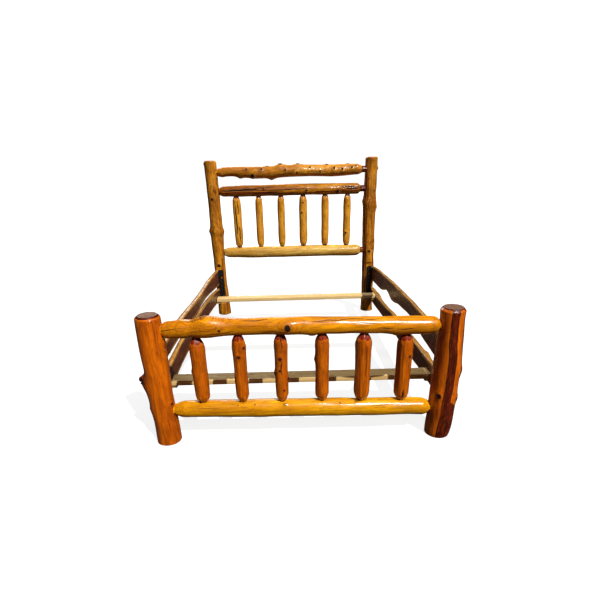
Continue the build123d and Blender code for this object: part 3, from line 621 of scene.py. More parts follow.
def capped(skin, tree, end, direction, points, values):
    """Adds the rings and the fan that close one end of a log, laid on the CAD's own end."""
    count = len(skin.turns)
    first = len(points)
    shares = np.array(CAP_SHARES)[:, None]
    u = skin.centre[end, 0] + shares * skin.radii[end] * np.cos(skin.turns)
    v = skin.centre[end, 1] + shares * skin.radii[end] * np.sin(skin.turns)
    rim = skin.along[end]
    heights = np.full(u.shape, rim)
    way = Vector(placed(skin.axis, 0.0, 0.0, -float(direction)).tolist())
    start, reach = CAP_RAY
    for place in np.ndindex(u.shape):
        outside = placed(skin.axis, u[place], v[place], rim + direction * start)
        hit = tree.ray_cast(Vector(outside.tolist()), way, reach)[3]
        if hit is not None:
            heights[place] = rim + direction * (start - hit)
    ripple = np.sin(u * 900 + 2 * np.sin(v * 160)) * 0.5 + 0.5
    heights -= direction * CAP_ROUGHNESS * ripple * np.clip((1 - shares) * 8, 0, 1)
    ring_points = placed(skin.axis, u, v, heights).reshape(-1, 3)
    middle = placed(skin.axis, *skin.centre[end], heights[-1].mean())[None, :]
    old = np.arange(end * count, (end + 1) * count)
    extra = {}
    for key, value in values.items():
        rings = np.tile(value[old], (len(CAP_SHARES), 1))
        extra[key] = np.concatenate((rings, value[old][:1]))
    scale = np.concatenate((np.repeat(np.array(CAP_SHARES), count), [0.0]))[:, None]
    extra["grain"][:, :2] *= scale
    extra["heart"] += np.median(skin.radii[end]) * (1 - scale)
    # A sawn end's heartwood goes deeper, so that it takes the dry grey tone and its painted sheen.
    extra["heart"] += np.where(extra["heart"] > 0, SAWN_DEPTH, 0)
    extra["knot"][:, 0] = extra["split"][:, 0] = FAR
    loops = [old] + [first + k * count + np.arange(count) for k in range(len(CAP_SHARES))]
    quads = []
    for outer, inner in zip(loops, loops[1:]):
        corners = (outer, np.roll(outer, -1), np.roll(inner, -1), inner)
        quads.append(np.stack(corners if direction > 0 else corners[::-1], -1))
    last = loops[-1]
    hub = np.full(count, first + len(ring_points))
    fan = (last, np.roll(last, -1), hub) if direction > 0 else (np.roll(last, -1), last, hub)
    joined = {key: np.concatenate((value, extra[key])) for key, value in values.items()}
    points = np.concatenate((points, ring_points, middle))
    return points, joined, np.concatenate(quads), np.stack(fan, -1)


def in_scene(name, data):
    """A new object in the scene."""
    made = bpy.data.objects.new(name, data)
    bpy.context.collection.objects.link(made)
    return made


def piece(name, mesh, material, body, slot, *nodes):
    """Makes a finished piece that rides on a body and stands for its CAD nodes."""
    mesh.materials.append(material)
    made = in_scene(name, mesh)
    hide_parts(*nodes)
    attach(made, body)


def log_piece(node, material, slot, heart, seed):
    """Makes a peeled log: its skin lowered by wear, knots, splits and tool marks."""
    rng = np.random.default_rng(seed)
    skin, tree = skin_of(node)
    exact = kept_exact(skin)
    knots, bend, swell = knot_fields(skin, KNOTS.get(node, ()))
    splits = split_fields(skin, SPLITS.get(node, ()), rng)
    near_knot = np.clip(2.2 - np.hypot(knots[..., 0], knots[..., 1]), 0, 1)
    skin.radii = skin.radii + (softened(skin.radii, 2) - skin.radii) * near_knot * (1 - exact)
    tapered = "post" not in node and node not in BLUNT
    depth = worn_depth(skin, knots, splits, tapered, HEWN_SPINDLES.get(node), rng)
    dish = HOLE_DISH * np.clip(softened(skin.holes.astype(float), 1), 0, 1)
    for place, reach, rise in GIRDLES.get(node, ()):
        ring = (skin.ahead / MM - place) / reach
        swell = swell + rise * MM * np.exp(-(ring**2))
    skin.radii = skin.radii + (swell - depth) * (1 - exact) - dish
    turned = skin.turns[None, :] + bend
    across = skin.radii * np.cos(turned), skin.radii * np.sin(turned)
    grain = np.stack((*across, skin.along[:, None] + 0 * bend), -1)
    fields = {
        "grain": grain,
        "knot": knots,
        "split": splits,
        "heart": heart_depth(skin, heart, STREAKS.get(node, ()), rng)[..., None],
    }
    mesh = log_mesh(f"{node}_wood", skin, tree, fields)
    piece(f"{node}_log", mesh, material, "frame", slot, node)


# ---- Boards, slats and blocks ----------------------------------------------------------------------
def edge_height(tree, x, y, start, way):
    """The height of a board's top or bottom edge, looking down or up at it."""
    hit = tree.ray_cast(Vector((x, y, start)), Vector((0, 0, way)), 1.0)[0]
    return math.nan if hit is None else hit.z


def board_profile(node):
    """Stations along a board, and its top and bottom heights at places across its thickness."""
    low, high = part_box(node)
    tree = surface_of(node)
    count = round((high.y - low.y) / BOARD_STEP)
    along = np.linspace(low.y + SKIN, high.y - SKIN, count)
    across = np.linspace(low.x + SKIN, high.x - SKIN, EDGE_PROBES)
    if low.x < 0:
        across = across[::-1]
    rays = ((high.z + PROBE_START, -1), (low.z - PROBE_START, 1))
    edges = [[[edge_height(tree, x, y, *ray) for x in across] for y in along] for ray in rays]
    return along, across, *np.array(edges)


def eased(share, thickness):
    """How far a live edge falls at each share of the thickness, from the inner face to the outer."""
    inner = np.clip(1 - share * thickness / EASED_INNER, 0, 1)
    outer = np.clip(1 - (1 - share) * thickness / EASED_OUTER, 0, 1)
    return EASED_INNER * (1 - np.sqrt(1 - inner**2)) + EASED_OUTER * (1 - np.sqrt(1 - outer**2))


def board_waves(along, share, rng):
    """Lumps along a live edge, 0 to WANE_DEPTH."""
    total = np.zeros((len(along), len(share)))
    for _ in range(WANE_WAVES):
        pitch = rng.uniform(0.03, 0.3)
        phase = along[:, None] * WAVE / pitch + share[None, :] * rng.uniform(-3, 3)
        total += np.cos(phase + rng.uniform(*ANY_PHASE))
    return WANE_DEPTH * np.clip(0.5 + total / 8, 0, 1)


def swollen(node, along, share):
    """How far a board's top edge swells upwards towards its outer side."""
    rise = np.zeros((len(along), len(share)))
    for place, reach, height in SWELLINGS.get(node, ()):
        hill = np.exp(-(((along / MM - place) / reach) ** 2) * 1.5)
        rise += height * MM * hill[:, None] * np.clip(share, 0, 1)[None, :] ** 1.5
    return rise


def live_board(node, material, body, seed):
    """Makes a side board: sawn faces, and waney edges that keep the shape of the tree."""
    rng = np.random.default_rng(seed)
    along, across, tops, bottoms = board_profile(node)
    thickness = abs(across[-1] - across[0])
    share = np.array(EDGE_SHARES)
    places = np.linspace(0, 1, EDGE_PROBES)
    top = np.array([np.interp(share, places, row) for row in tops])
    bottom = np.array([np.interp(share, places, row) for row in bottoms])
    fall = eased(share, thickness)[None, :]
    top += swollen(node, along, share) - fall - board_waves(along, share, rng)
    bottom += fall + board_waves(along, share, rng)
    x_line = across[0] + share * (across[-1] - across[0])
    rows = max(8, round(float(np.median(top[:, 0] - bottom[:, 0])) / FACE_STEP))
    up = np.linspace(0, 1, rows + 2)[1:-1]
    saw = SAW_WAVE * (0.5 + 0.5 * np.sin(along * 700 + 1.5 * np.sin(along * 40)))[:, None]
    towards = np.sign(across[-1] - across[0])
    inner_z = bottom[:, :1] + (top[:, :1] - bottom[:, :1]) * up
    outer_z = top[:, -1:] + (bottom[:, -1:] - top[:, -1:]) * up
    inner_x = across[0] + towards * saw + 0 * inner_z
    outer_x = across[-1] - towards * saw + 0 * outer_z
    z = np.concatenate((inner_z, top, outer_z, bottom[:, ::-1]), 1)
    x = np.concatenate((inner_x, x_line + 0 * top, outer_x, x_line[::-1] + 0 * bottom), 1)
    y = along[:, None] + 0 * z
    highest = top.max(axis=1, keepdims=True)
    lowest = bottom.min(axis=1, keepdims=True)
    level = (z - lowest) / (highest - lowest)
    mean_height = float(np.mean(highest - lowest))
    face = np.abs(x - across[0]) / thickness
    edges = np.stack((top[:, :1] - z, z - bottom[:, :1], face), -1)
    on_wane = np.concatenate((0 * up, 0 * share + 1, 0 * up, 0 * share + 1))[None, :] + 0 * z
    grain = np.stack((x, level * mean_height, y), -1)
    fields = {"grain": grain, "edges": edges, "wane": on_wane[..., None]}
    mesh = loop_mesh(f"{node}_wood", np.stack((x, y, z), -1), fields, towards < 0)
    piece(f"{node}_slab", mesh, material, body, "live_edge_slab", node)


def loop_mesh(name, points, fields, flip):
    """A closed mesh through a row of equal loops, with flat ends."""
    rings, count = points.shape[:2]
    i, j = np.meshgrid(np.arange(rings - 1), np.arange(count), indexing="ij")
    after = (j + 1) % count
    near, far = i * count, (i + 1) * count
    quads = np.stack((near + j, far + j, far + after, near + after), -1)
    ends = [np.arange(count)[None, :], (rings - 1) * count + np.arange(count)[None, ::-1]]
    if flip:
        quads, ends = quads[..., ::-1], [end[:, ::-1] for end in ends]
    corners = quads.reshape(-1, 4).tolist() + [end[0].tolist() for end in ends]
    values = {key: value.reshape(rings * count, -1) for key, value in fields.items()}
    mesh = smooth_mesh(name, points.reshape(-1, 3), corners, values)
    mesh.set_sharp_from_angle(angle=math.radians(SHARP_EDGE))
    return mesh


def timber(node, material, body, slot, seed):
    """Makes a planed length of pine: a slat or a block, with eased edges."""
    rng = np.random.default_rng(seed)
    low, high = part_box(node)
    sizes = [high[k] - low[k] for k in range(3)]
    length = sizes.index(max(sizes))
    across = [k for k in range(3) if k != length]
    steps = max(4, round(sizes[length] / TIMBER_STEP))
    ease = TIMBER_EASING
    inner = np.linspace(TIMBER_STEP, sizes[length] - TIMBER_STEP, steps)
    along = np.concatenate(([0, ease * 0.3, ease], inner))
    along = np.concatenate((along, sizes[length] - np.array([ease, ease * 0.3, 0])))
    width, height = sizes[across[0]], sizes[across[1]]
    loop = eased_rectangle(width, height, ease)
    middle = [low[across[0]] + width / 2, low[across[1]] + height / 2]
    inset = np.array([ease, ease * 0.3, 0] + [0] * steps + [0, ease * 0.3, ease]) * 0.5
    points = np.zeros((len(along), len(loop), 3))
    for i, place in enumerate(along):
        scale = np.array([1 - 2 * inset[i] / width, 1 - 2 * inset[i] / height])
        points[i, :, across[0]] = middle[0] + loop[:, 0] * scale[0]
        points[i, :, across[1]] = middle[1] + loop[:, 1] * scale[1]
        points[i, :, length] = low[length] + place
    pith = rng.uniform(-0.2, 0.2), -rng.uniform(0.5, 0.8)
    grain = np.zeros(points.shape)
    grain[..., 0] = points[..., across[0]] - middle[0] + pith[0] * width
    grain[..., 1] = points[..., across[1]] - middle[1] + pith[1] * height * 3
    grain[..., 2] = points[..., length] + rng.uniform(0, 5)
    mesh = loop_mesh(f"{node}_wood", points, {"grain": grain}, length == 1)
    piece(f"{node}_timber", mesh, material, body, slot, node)


def eased_rectangle(width, height, ease):
    """Points round a rectangle with rounded corners, each side divided."""
    points = []
    for sx, sy, start in ((1, -1, -90), (1, 1, 0), (-1, 1, 90), (-1, -1, 180)):
        corner = np.array([sx * (width / 2 - ease), sy * (height / 2 - ease)])
        for step in range(4):
            angle = math.radians(start + 30 * step)
            points.append(corner + ease * np.array([math.cos(angle), math.sin(angle)]))
    divided = []
    for a, b in zip(points, points[1:] + points[:1]):
        cuts = max(1, round(np.linalg.norm(b - a) / TIMBER_STEP))
        divided += [a + (b - a) * k / cuts for k in range(cuts)]
    return np.array(divided)


# ---- Building materials ----------------------------------------------------------------------------
def colour(code):
    """A linear colour from an sRGB code."""
    parts = [int(code[k : k + 2], 16) / 255 for k in (1, 3, 5)]
    return (*(((c + 0.055) / 1.055) ** 2.4 if c > 0.04045 else c / 12.92 for c in parts), 1.0)


class Graph:
    """A node tree under construction, with short ways to add nodes and join them."""

    def __init__(self, tree):
        self.tree = tree

    def add(self, kind, inputs=(), **settings):
        node = self.tree.nodes.new(kind)
        for key, value in settings.items():
            setattr(node, key, value)
        self.fill(node, dict(inputs))
        return node

    def feed(self, socket, value):
        if isinstance(value, bpy.types.NodeSocket):
            self.tree.links.new(value, socket)
        else:
            socket.default_value = value

    def fill(self, node, inputs):
        for key, value in inputs.items():
            self.feed(node.inputs[key], value)

    def math(self, operation, a, b=0.0, c=0.0, clamp=False):
        inputs = {0: a, 1: b, 2: c}
        return self.add("ShaderNodeMath", inputs, operation=operation, use_clamp=clamp).outputs[0]

    def times(self, a, b):
        return self.math("MULTIPLY", a, b)

    def vector(self, operation, a, b=(0.0, 0.0, 0.0)):
        node = self.add("ShaderNodeVectorMath", {0: a, 1: b}, operation=operation)
        return node.outputs["Value" if operation == "LENGTH" else "Vector"]

    def scaled(self, vector, by):
        return self.vector("MULTIPLY", vector, by)

    def noise(self, vector, scale, detail=3.0, roughness=0.5):
        inputs = {"Vector": vector, "Scale": scale, "Detail": detail, "Roughness": roughness}
        return self.add("ShaderNodeTexNoise", inputs).outputs[0]

    def ramp(self, value, low, high, to_low=0.0, to_high=1.0):
        inputs = {"Value": value, "From Min": low, "From Max": high, "To Min": to_low, "To Max": to_high}
        return self.add("ShaderNodeMapRange", inputs, interpolation_type="SMOOTHSTEP").outputs[0]

    def blend(self, factor, a, b):
        node = self.add("ShaderNodeMix", data_type="RGBA")
        self.fill(node, {0: factor, 6: a, 7: b})
        return node.outputs[2]

    def layers(self, base, *layers):
        """A colour with others laid over it in turn, each given as (mask, strength, colour)."""
        for mask, strength, tone in layers:
            base = self.blend(self.times(mask, strength), base, tone)
        return base

    def split(self, vector):
        return self.add("ShaderNodeSeparateXYZ", {0: vector}).outputs

    def join(self, x, y, z):
        return self.add("ShaderNodeCombineXYZ", {0: x, 1: y, 2: z}).outputs[0]

    def attribute(self, name, kind="Vector"):
        return self.add("ShaderNodeAttribute", attribute_name=name).outputs[kind]

    def group(self, maker, **inputs):
        node = self.add("ShaderNodeGroup", node_tree=maker())
        self.fill(node, inputs)
        return node.outputs


def effect(name, **inputs):
    """A new shader node group with named inputs; gives its graph and its input sockets."""
    tree = bpy.data.node_groups.new(name, "ShaderNodeTree")
    kinds = {float: "NodeSocketFloat", tuple: "NodeSocketVector"}
    for key, value in inputs.items():
        socket = tree.interface.new_socket(name=key, in_out="INPUT", socket_type=kinds[type(value)])
        socket.default_value = value
    return Graph(tree), tree.nodes.new("NodeGroupInput").outputs


def deliver(graph, **outputs):
    """Gives a node group its named outputs, and returns its tree."""
    for key in outputs:
        graph.tree.interface.new_socket(name=key, in_out="OUTPUT", socket_type="NodeSocketFloat")
    graph.fill(graph.tree.nodes.new("NodeGroupOutput"), outputs)
    return graph.tree


@cache
def grain_streaks():
    """Long streaks and fine fibres that run along the grain."""
    graph, given = effect("Grain streaks", Grain=(0.0, 0.0, 0.0), Across=70.0, Along=5.0)
    stretch = graph.join(given["Across"], given["Across"], given["Along"])
    along = graph.scaled(given["Grain"], stretch)
    streak = graph.ramp(graph.noise(along, 1.0, 4.0, 0.55), 0.32, 0.68)
    fibre = graph.ramp(graph.noise(along, 5.5, 5.0, 0.6), 0.3, 0.7)
    long = graph.scaled(along, (1.7, 1.7, 0.3))
    line = graph.ramp(graph.noise(long, 1.0, 3.0, 0.5), 0.56, 0.64)
    return deliver(graph, Streak=streak, Fibre=fibre, Line=line)


@cache
def growth_rings():
    """Growth rings about the pith: thin dark latewood lines, waving a little."""
    graph, given = effect("Growth rings", Grain=(0.0, 0.0, 0.0), Spacing=0.003, Wander=0.004)
    slow = graph.scaled(given["Grain"], (22.0, 22.0, 3.0))
    swing = graph.math("SUBTRACT", graph.noise(slow, 1.0, 2.0), 0.5)
    swing = graph.times(swing, given["Wander"])
    flat = graph.scaled(given["Grain"], (1.0, 1.0, 0.0))
    radius = graph.math("ADD", graph.vector("LENGTH", flat), swing)
    phase = graph.math("FRACT", graph.math("DIVIDE", radius, given["Spacing"]))
    early = graph.ramp(phase, 0.35, 0.92)
    late = graph.math("SUBTRACT", 1.0, graph.ramp(phase, 0.93, 1.0))
    return deliver(graph, Latewood=graph.times(early, late))


@cache
def heartwood():
    """Heartwood where the cut goes deep enough, with a ragged border."""
    graph, given = effect("Heartwood", Grain=(0.0, 0.0, 0.0), Depth=0.0, Ragged=0.004)
    stretch = graph.scaled(given["Grain"], (130.0, 130.0, 9.0))
    swing = graph.math("SUBTRACT", graph.noise(stretch, 1.0, 3.0, 0.6), 0.5)
    depth = graph.math("MULTIPLY_ADD", swing, given["Ragged"], given["Depth"])
    heart = graph.ramp(depth, -0.0007, 0.0009)
    near = graph.math("SUBTRACT", graph.ramp(depth, -0.004, 0.0), heart)
    return deliver(graph, Heart=heart, Border=near)


@cache
def knots():
    """A knot's dark core and rim, its rings, the stain round it and its relief."""
    graph, given = effect("Knots", Place=(FAR, 0.0, 0.0), Grain=(0.0, 0.0, 0.0))
    strength = graph.split(given["Place"])[2]
    flat = graph.vector("LENGTH", graph.scaled(given["Place"], (1.0, 1.0, 0.0)))
    rough = graph.math("SUBTRACT", graph.noise(given["Grain"], 260.0, 3.0, 0.6), 0.5)
    apart = graph.math("MULTIPLY_ADD", rough, 0.5, flat)
    core = graph.times(graph.ramp(apart, 0.95, 0.68), graph.ramp(strength, 0.2, 0.9))
    wave = graph.math("SINE", graph.times(apart, 26.0))
    inside = graph.ramp(apart, 1.1, 0.9)
    rings = graph.times(graph.ramp(wave, -0.2, 0.9), inside)
    rings = graph.times(rings, strength)
    stain = graph.times(graph.ramp(apart, 1.9, 0.7), strength)
    aside = graph.vector("SUBTRACT", given["Place"], (0.75, 0.45, 0.0))
    aside = graph.vector("LENGTH", graph.scaled(aside, (0.7, 1.0, 0.0)))
    scar = graph.ramp(graph.math("MULTIPLY_ADD", rough, 0.9, aside), 0.85, 0.6)
    scar = graph.times(scar, graph.ramp(strength, 0.85, 1.0))
    rim = graph.times(graph.ramp(apart, 1.35, 1.05), graph.ramp(apart, 0.75, 1.0))
    relief = graph.times(graph.math("MULTIPLY_ADD", rings, -0.3, rim), strength)
    return deliver(graph, Core=core, Rings=rings, Stain=stain, Scar=scar, Relief=relief)


@cache
def splits():
    """A drying split: a dark gap that narrows to its ends, with a stained edge."""
    graph, given = effect("Splits", Place=(FAR, FAR, 0.0), Grain=(0.0, 0.0, 0.0))
    ahead, aside, depth = graph.split(given["Place"])
    jagged = graph.scaled(given["Grain"], (500.0, 500.0, 60.0))
    rough = graph.math("SUBTRACT", graph.noise(jagged, 1.0, 3.0, 0.7), 0.5)
    tip = graph.math("SUBTRACT", 1.0, graph.times(ahead, ahead), clamp=True)
    off = graph.math("MULTIPLY_ADD", rough, 1.1, graph.math("ABSOLUTE", aside))
    level = graph.math("SUBTRACT", tip, off)
    real = graph.ramp(depth, 0.0, 1.0)
    gap = graph.times(graph.ramp(level, 0.0, 0.35), real)
    edge = graph.times(graph.ramp(level, -1.6, 0.2), real)
    return deliver(graph, Gap=gap, Edge=graph.times(edge, tip))


@cache
def finish_variation():
    """How an old varnish varies: soft patches of tone and gloss, fine specks and scuffs."""
    graph, given = effect("Finish variation", Place=(0.0, 0.0, 0.0), Patch=6.0)
    tone = graph.noise(given["Place"], given["Patch"], 4.0, 0.55)
    gloss = graph.noise(given["Place"], 34.0, 4.0, 0.6)
    specks = graph.ramp(graph.noise(given["Place"], 420.0, 2.0, 0.5), 0.68, 0.76)
    return deliver(graph, Tone=tone, Gloss=gloss, Specks=specks)


def new_material(name):
    """An empty node material, with its graph and its surface shader."""
    material = bpy.data.materials.new(name)
    material.use_nodes = True
    return material, Graph(material.node_tree), material.node_tree.nodes["Principled BSDF"]


def place_on(graph):
    """A point's place in the frame's own axes."""
    return graph.add("ShaderNodeTexCoord").outputs["Object"]


def raised(graph, height, distance, strength):
    """A normal from a height, for relief too fine to be modelled."""
    inputs = {"Height": height, "Distance": distance, "Strength": strength}
    return graph.add("ShaderNodeBump", inputs).outputs[0]


def grained(graph, across, along, spacing, wander):
    """A point's place in the grain, the streaks there and the latewood of the growth rings."""
    grain = graph.attribute("grain")
    streaks = graph.group(grain_streaks, Grain=grain, Across=across, Along=along)
    rings = graph.group(growth_rings, Grain=grain, Spacing=spacing, Wander=wander)
    return grain, streaks, rings["Latewood"]


def varnished_log(name, streaked=0.55, lined=0.4, scarred=0.0, coated=0.5, gloss=(0.2, 0.4)):
    """Peeled and varnished log: streaked sapwood, red heartwood, knots and drying splits."""
    material, graph, shader = new_material(name)
    pale, dark, red, knot_dark, brown, scar = (colour(code) for code in WOOD_TONES[name])
    grain, streaks, latewood = grained(graph, 75.0, 4.5, 0.0032, 0.009)
    streak, fibre, line = streaks
    depth = graph.attribute("heart", "Fac")
    heart, border = graph.group(heartwood, Grain=grain, Depth=depth, Ragged=0.007)
    knot = graph.group(knots, Place=graph.attribute("knot"), Grain=grain)
    gap, edge = graph.group(splits, Place=graph.attribute("split"), Grain=grain)
    place = graph.scaled(grain, (1.6, 1.6, 0.35))
    tone, shine, specks = graph.group(finish_variation, Place=place, Patch=9.0)
    sapwood = graph.layers(
        graph.blend(graph.ramp(tone, 0.3, 0.7), pale, dark),
        (streak, streaked, dark),
        (latewood, 0.3, brown),
        (graph.ramp(fibre, 0.64, 0.9), 0.9 * streaked, brown),
        (line, lined, brown),
        (border, 0.35, pale),
    )
    redwood = graph.layers(
        red,
        (streak, 0.7, knot_dark),
        (graph.ramp(fibre, 0.6, 0.95), 0.5, dark),
        (line, 0.85, knot_dark),
        # A sawn end's face: its own dry grey tone, with a painted sheen of reflected sky.
        (graph.ramp(depth, 0.013, 0.02), 0.8, colour(SAWN_END_GREY_AND_SHEEN)),
        (latewood, 0.45, knot_dark),
    )
    wood = graph.layers(
        graph.blend(heart, sapwood, redwood),
        (knot["Stain"], 0.35, brown),
        (knot["Scar"], scarred, scar),
        (knot["Rings"], 0.55, red),
        (knot["Core"], 0.98, knot_dark),
        (edge, 0.45, brown),
        (gap, 1.0, colour(SPLIT_DARK)),
        (specks, 0.35, brown),
    )
    bare = graph.math("MAXIMUM", gap, knot["Core"])
    dull = graph.math("MAXIMUM", bare, graph.times(heart, 0.42))
    coat = graph.math("SUBTRACT", 1.0, bare)
    coat = graph.times(coat, graph.math("MULTIPLY_ADD", heart, -0.6, 1.0))
    height = graph.math("MULTIPLY_ADD", fibre, 0.18, graph.times(latewood, 0.25))
    height = graph.math("MULTIPLY_ADD", knot["Relief"], 0.9, height)
    height = graph.math("MULTIPLY_ADD", gap, -2.2, height)
    surface = {
        "Base Color": wood,
        "Roughness": graph.math("MAXIMUM", graph.ramp(shine, 0.3, 0.7, *gloss), dull),
        "Coat Weight": graph.times(coat, coated),
        "Coat Roughness": 0.12,
        "Specular IOR Level": 0.15,
        "Normal": raised(graph, height, 0.0008, 0.6),
    }
    graph.fill(shader, surface)
    return material


def live_edge_slab():
    """Heartwood board with pale sapwood at its waney edges."""
    material, graph, shader = new_material("live_edge_slab_varnished")
    _, (streak, fibre, _), latewood = grained(graph, 95.0, 4.0, 0.0075, 0.03)
    from_top, from_bottom, _ = graph.split(graph.attribute("edges"))
    tone, shine, specks = graph.group(finish_variation, Place=place_on(graph), Patch=5.0)
    swing = graph.times(graph.math("SUBTRACT", streak, 0.5), 0.008)
    at_top = graph.ramp(graph.math("ADD", from_top, swing), 0.011, 0.007)
    at_bottom = graph.ramp(graph.math("ADD", from_bottom, swing), 0.010, 0.006)
    pale = graph.math("MAXIMUM", at_top, at_bottom)
    pale = graph.math("MAXIMUM", pale, graph.attribute("wane", "Fac"))
    heart = graph.layers(
        graph.blend(streak, colour("#6E3018"), colour("#38140B")),
        (latewood, 0.5, colour("#200B07")),
        (graph.ramp(fibre, 0.6, 0.9), 0.5, colour("#9A6234")),
        (graph.ramp(tone, 0.45, 0.75), 0.4, colour("#7A3A1E")),
    )
    sap = graph.layers(
        graph.blend(streak, colour("#C08A3C"), colour("#8A5A22")),
        (graph.ramp(shine, 0.5, 0.7), 0.6, colour("#5C3412")),
    )
    height = graph.math("MULTIPLY_ADD", fibre, 0.35, graph.times(latewood, 0.3))
    surface = {
        "Base Color": graph.layers(graph.blend(pale, heart, sap), (specks, 0.5, colour("#1A0A06"))),
        "Roughness": graph.ramp(shine, 0.3, 0.7, 0.24, 0.5),
        "Coat Weight": 0.25,
        "Coat Roughness": 0.2,
        "Specular IOR Level": 0.25,
        "Normal": raised(graph, height, 0.0008, 0.8),
    }
    graph.fill(shader, surface)
    return material


def planed_pine(name, *tones):
    """Planed softwood: pale, with clear growth rings and a few darker streaks."""
    material, graph, shader = new_material(name)
    pale, dark, late = (colour(code) for code in tones)
    _, (streak, fibre, _), latewood = grained(graph, 60.0, 3.0, 0.0055, 0.016)
    tone, shine, specks = graph.group(finish_variation, Place=place_on(graph), Patch=9.0)
    wood = graph.layers(
        pale,
        (streak, 0.6, dark),
        (latewood, 0.55, late),
        (graph.ramp(tone, 0.5, 0.8), 0.4, dark),
        (specks, 0.3, late),
    )
    height = graph.math("MULTIPLY_ADD", fibre, 0.5, graph.times(latewood, 0.3))
    surface = {
        "Base Color": wood,
        "Roughness": graph.ramp(shine, 0.3, 0.7, 0.55, 0.75),
        "Normal": raised(graph, height, 0.0005, 0.8),
    }
    graph.fill(shader, surface)
    return material


def black_steel(name, base, worn, metallic, roughness):
    """Steel under a thin black finish, rubbed brighter where it is handled."""
    material, graph, shader = new_material(name)
    tone, shine, specks = graph.group(finish_variation, Place=place_on(graph), Patch=18.0)
    steel = graph.blend(graph.ramp(tone, 0.5, 0.75), colour(base), colour(worn))
    surface = {
        "Base Color": graph.layers(steel, (specks, 0.4, colour("#6B6660"))),
        "Roughness": graph.ramp(shine, 0.3, 0.7, *roughness),
        "Metallic": metallic,
        "Normal": raised(graph, shine, 0.0003, 0.5),
    }
    graph.fill(shader, surface)
    return material


def floor_paper():
    """The plain pale floor: it throws little light back up, and fades to white far from the bed."""
    material, graph, shader = new_material("plain_floor")
    tone = graph.group(finish_variation, Place=place_on(graph), Patch=0.4)["Tone"]
    seen = graph.add("ShaderNodeLightPath").outputs["Is Camera Ray"]
    paper = graph.blend(tone, colour("#8E8E8E"), colour("#8A8A8A"))
    away = graph.vector("LENGTH", graph.scaled(place_on(graph), (1.0, 1.0, 0.0)))
    surface = {
        "Base Color": graph.blend(seen, colour("#3C342C"), paper),
        "Emission Strength": graph.times(graph.ramp(away, *FLOOR_FADE, FLOOR_GLOW, WORLD_SEEN), seen),
        "Emission Color": (1.0, 1.0, 1.0, 1.0),
        "Roughness": 0.9,
        "Specular IOR Level": 0.1,
    }
    graph.fill(shader, surface)
    return material


# ---- Assembly --------------------------------------------------------------------------------------
def headboard_and_footboard():
    """Makes all the logs: posts, rails and spindles of both ends."""
    duller = {"coated": 0.2, "gloss": (0.28, 0.5)}
    woods = {
        ("head", "post"): varnished_log("honey_post_wood", streaked=0.75, lined=0.8, **duller),
        ("head", "rail"): varnished_log("honey_rail_wood", scarred=0.7, **duller),
        ("head", "dark"): varnished_log(
            "dark_rail_wood", streaked=0.6, lined=0.45, scarred=0.5, **duller
        ),
        ("head", "pale"): varnished_log("pale_rail_wood", lined=0.5, **duller),
        ("head", "spindle"): varnished_log("honey_spindle_wood", **duller),
        ("foot", "post"): varnished_log("amber_post_wood", lined=0.65),
        ("foot", "pale"): varnished_log("pale_amber_rail_wood", streaked=0.6, lined=0.45),
        ("foot", "rail"): varnished_log("amber_rail_wood", streaked=0.55, lined=0.5),
        ("foot", "spindle"): varnished_log("amber_spindle_wood"),
    }
    logs = [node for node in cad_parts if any(f"_{form}" in node for form in HEARTS)]
    for seed, node in enumerate(sorted(logs)):
        end = node[:4]
        form = next(form for form in HEARTS if form in node)
        wood = woods[end, RAIL_TONES.get(node, form)]
        slot = {"head": "honey_log", "foot": "amber_log"}[end]
        log_piece(node, wood, slot, HEARTS[form][end], SEEDS["log"] + seed)


def side_boards():
    """Makes the four live-edge boards."""
    slab = live_edge_slab()
    boards = [(side, level) for side in ("left", "right") for level in ("upper", "lower")]
    for seed, (side, level) in enumerate(boards):
        live_board(f"{side}_{level}_board", slab, f"{side}_side", SEEDS["board"] + seed)


def slats_and_blocks():
    """Makes the three loose slats and the blocks under their ends."""
    pine = planed_pine("pale_pine_planed", "#E4C484", "#C49C58", "#A87838")
    for seed, place in enumerate(("foot", "middle", "head")):
        timber(f"slat_{place}", pine, f"slat_{place}", "pale_pine", SEEDS["slat"] + seed)
        for side in ("left", "right"):
            block = f"slat_block_{place}_{side}"
            timber(block, pine, f"{side}_side", "pale_pine", SEEDS["block"] + seed)


def ironwork():
    """Gives the brackets, bolts and screws, which keep their CAD shapes, their own finishes."""
    finishes = {
        "screws": black_steel("black_screw_steel", "#1A1A1C", "#333336", 0.8, (0.25, 0.45)),
        "bolts": black_steel("black_bolt_steel", "#17171A", "#2C2C2F", 0.8, (0.3, 0.5)),
        "bracket_": black_steel("satin_black_steel", "#0D0D0E", "#1B1B1C", 0.3, (0.32, 0.55)),
    }
    # The first word that is in a node's name counts, as a bracket's screws have both words in theirs.
    for node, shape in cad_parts.items():
        key = next((key for key in finishes if key in node), None)
        if key is None:
            continue
        for slot in shape.material_slots:
            slot.material = finishes[key]


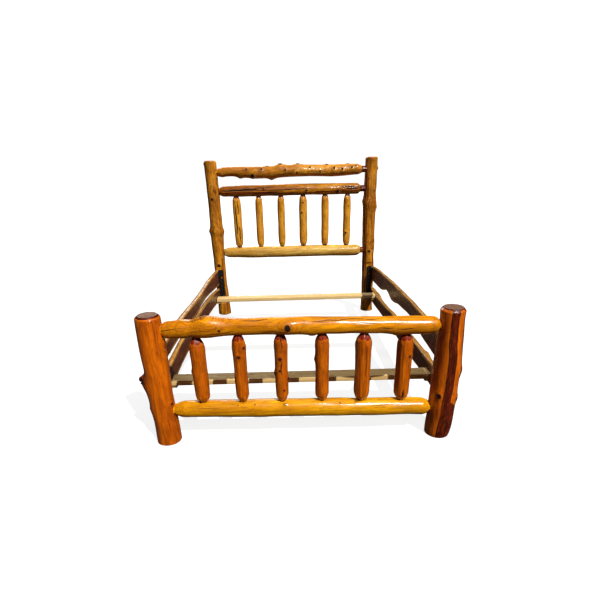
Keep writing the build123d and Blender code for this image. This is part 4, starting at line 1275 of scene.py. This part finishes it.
def plain_floor():
    """The floor that the bed stands on."""
    half = FLOOR_SIZE / 2
    mesh = bpy.data.meshes.new("floor")
    corners = [(-half, -half, 0), (half, -half, 0), (half, half, 0), (-half, half, 0)]
    mesh.from_pydata(corners, [], [(0, 1, 2, 3)])
    mesh.materials.append(floor_paper())
    floor = in_scene("floor", mesh)


def lamp(name, kind, place, target, size, power, lights_wood, shows_in_gloss):
    """Makes a lamp that lights the wood, shows as a highlight in its varnish, or both."""
    light = bpy.data.lights.new(name, kind)
    light.energy = power
    if kind == "SUN":
        light.angle = size
    else:
        light.size = size
    made = in_scene(name, light)
    made.location = place
    made.rotation_euler = (Vector(target) - Vector(place)).to_track_quat("-Z", "Y").to_euler()
    made.visible_diffuse = lights_wood
    made.visible_glossy = shows_in_gloss


def studio():
    """A high sun from beyond the foot, a gloss lamp beside it, and soft light from all round."""
    for settings in LAMPS:
        lamp(*settings)
    world = bpy.data.worlds.new("studio")
    world.use_nodes = True
    graph = Graph(world.node_tree)
    seen = graph.add("ShaderNodeLightPath").outputs["Is Camera Ray"]
    strength = graph.ramp(seen, 0.0, 1.0, WORLD_GLOW, WORLD_SEEN)
    graph.fill(world.node_tree.nodes["Background"], {"Strength": strength, "Color": (1, 1, 1, 1)})
    bpy.context.scene.world = world


def camera():
    """A camera at standing height beyond the foot of the bed."""
    yaw, down, roll = (math.radians(turn) for turn in (CAMERA_YAW, CAMERA_DOWN, CAMERA_ROLL))
    forward = Vector((math.sin(yaw) * math.cos(down), math.cos(yaw) * math.cos(down), -math.sin(down)))
    level = Vector((math.cos(yaw), -math.sin(yaw), 0.0))
    below = forward.cross(level)
    right = level * math.cos(roll) + below * math.sin(roll)
    under = below * math.cos(roll) - level * math.sin(roll)
    lens = bpy.data.cameras.new("camera")
    lens.sensor_width = SENSOR
    lens.lens = LENS
    lens.shift_x, lens.shift_y = SHIFT
    made = in_scene("camera", lens)
    axes = Matrix((right, -under, -forward)).transposed().to_4x4()
    made.matrix_world = Matrix.Translation(CAMERA_AT) @ axes
    bpy.context.scene.camera = made
    bpy.context.scene.view_settings.view_transform = "Standard"


headboard_and_footboard()
side_boards()
slats_and_blocks()
ironwork()
plain_floor()
studio()
camera()
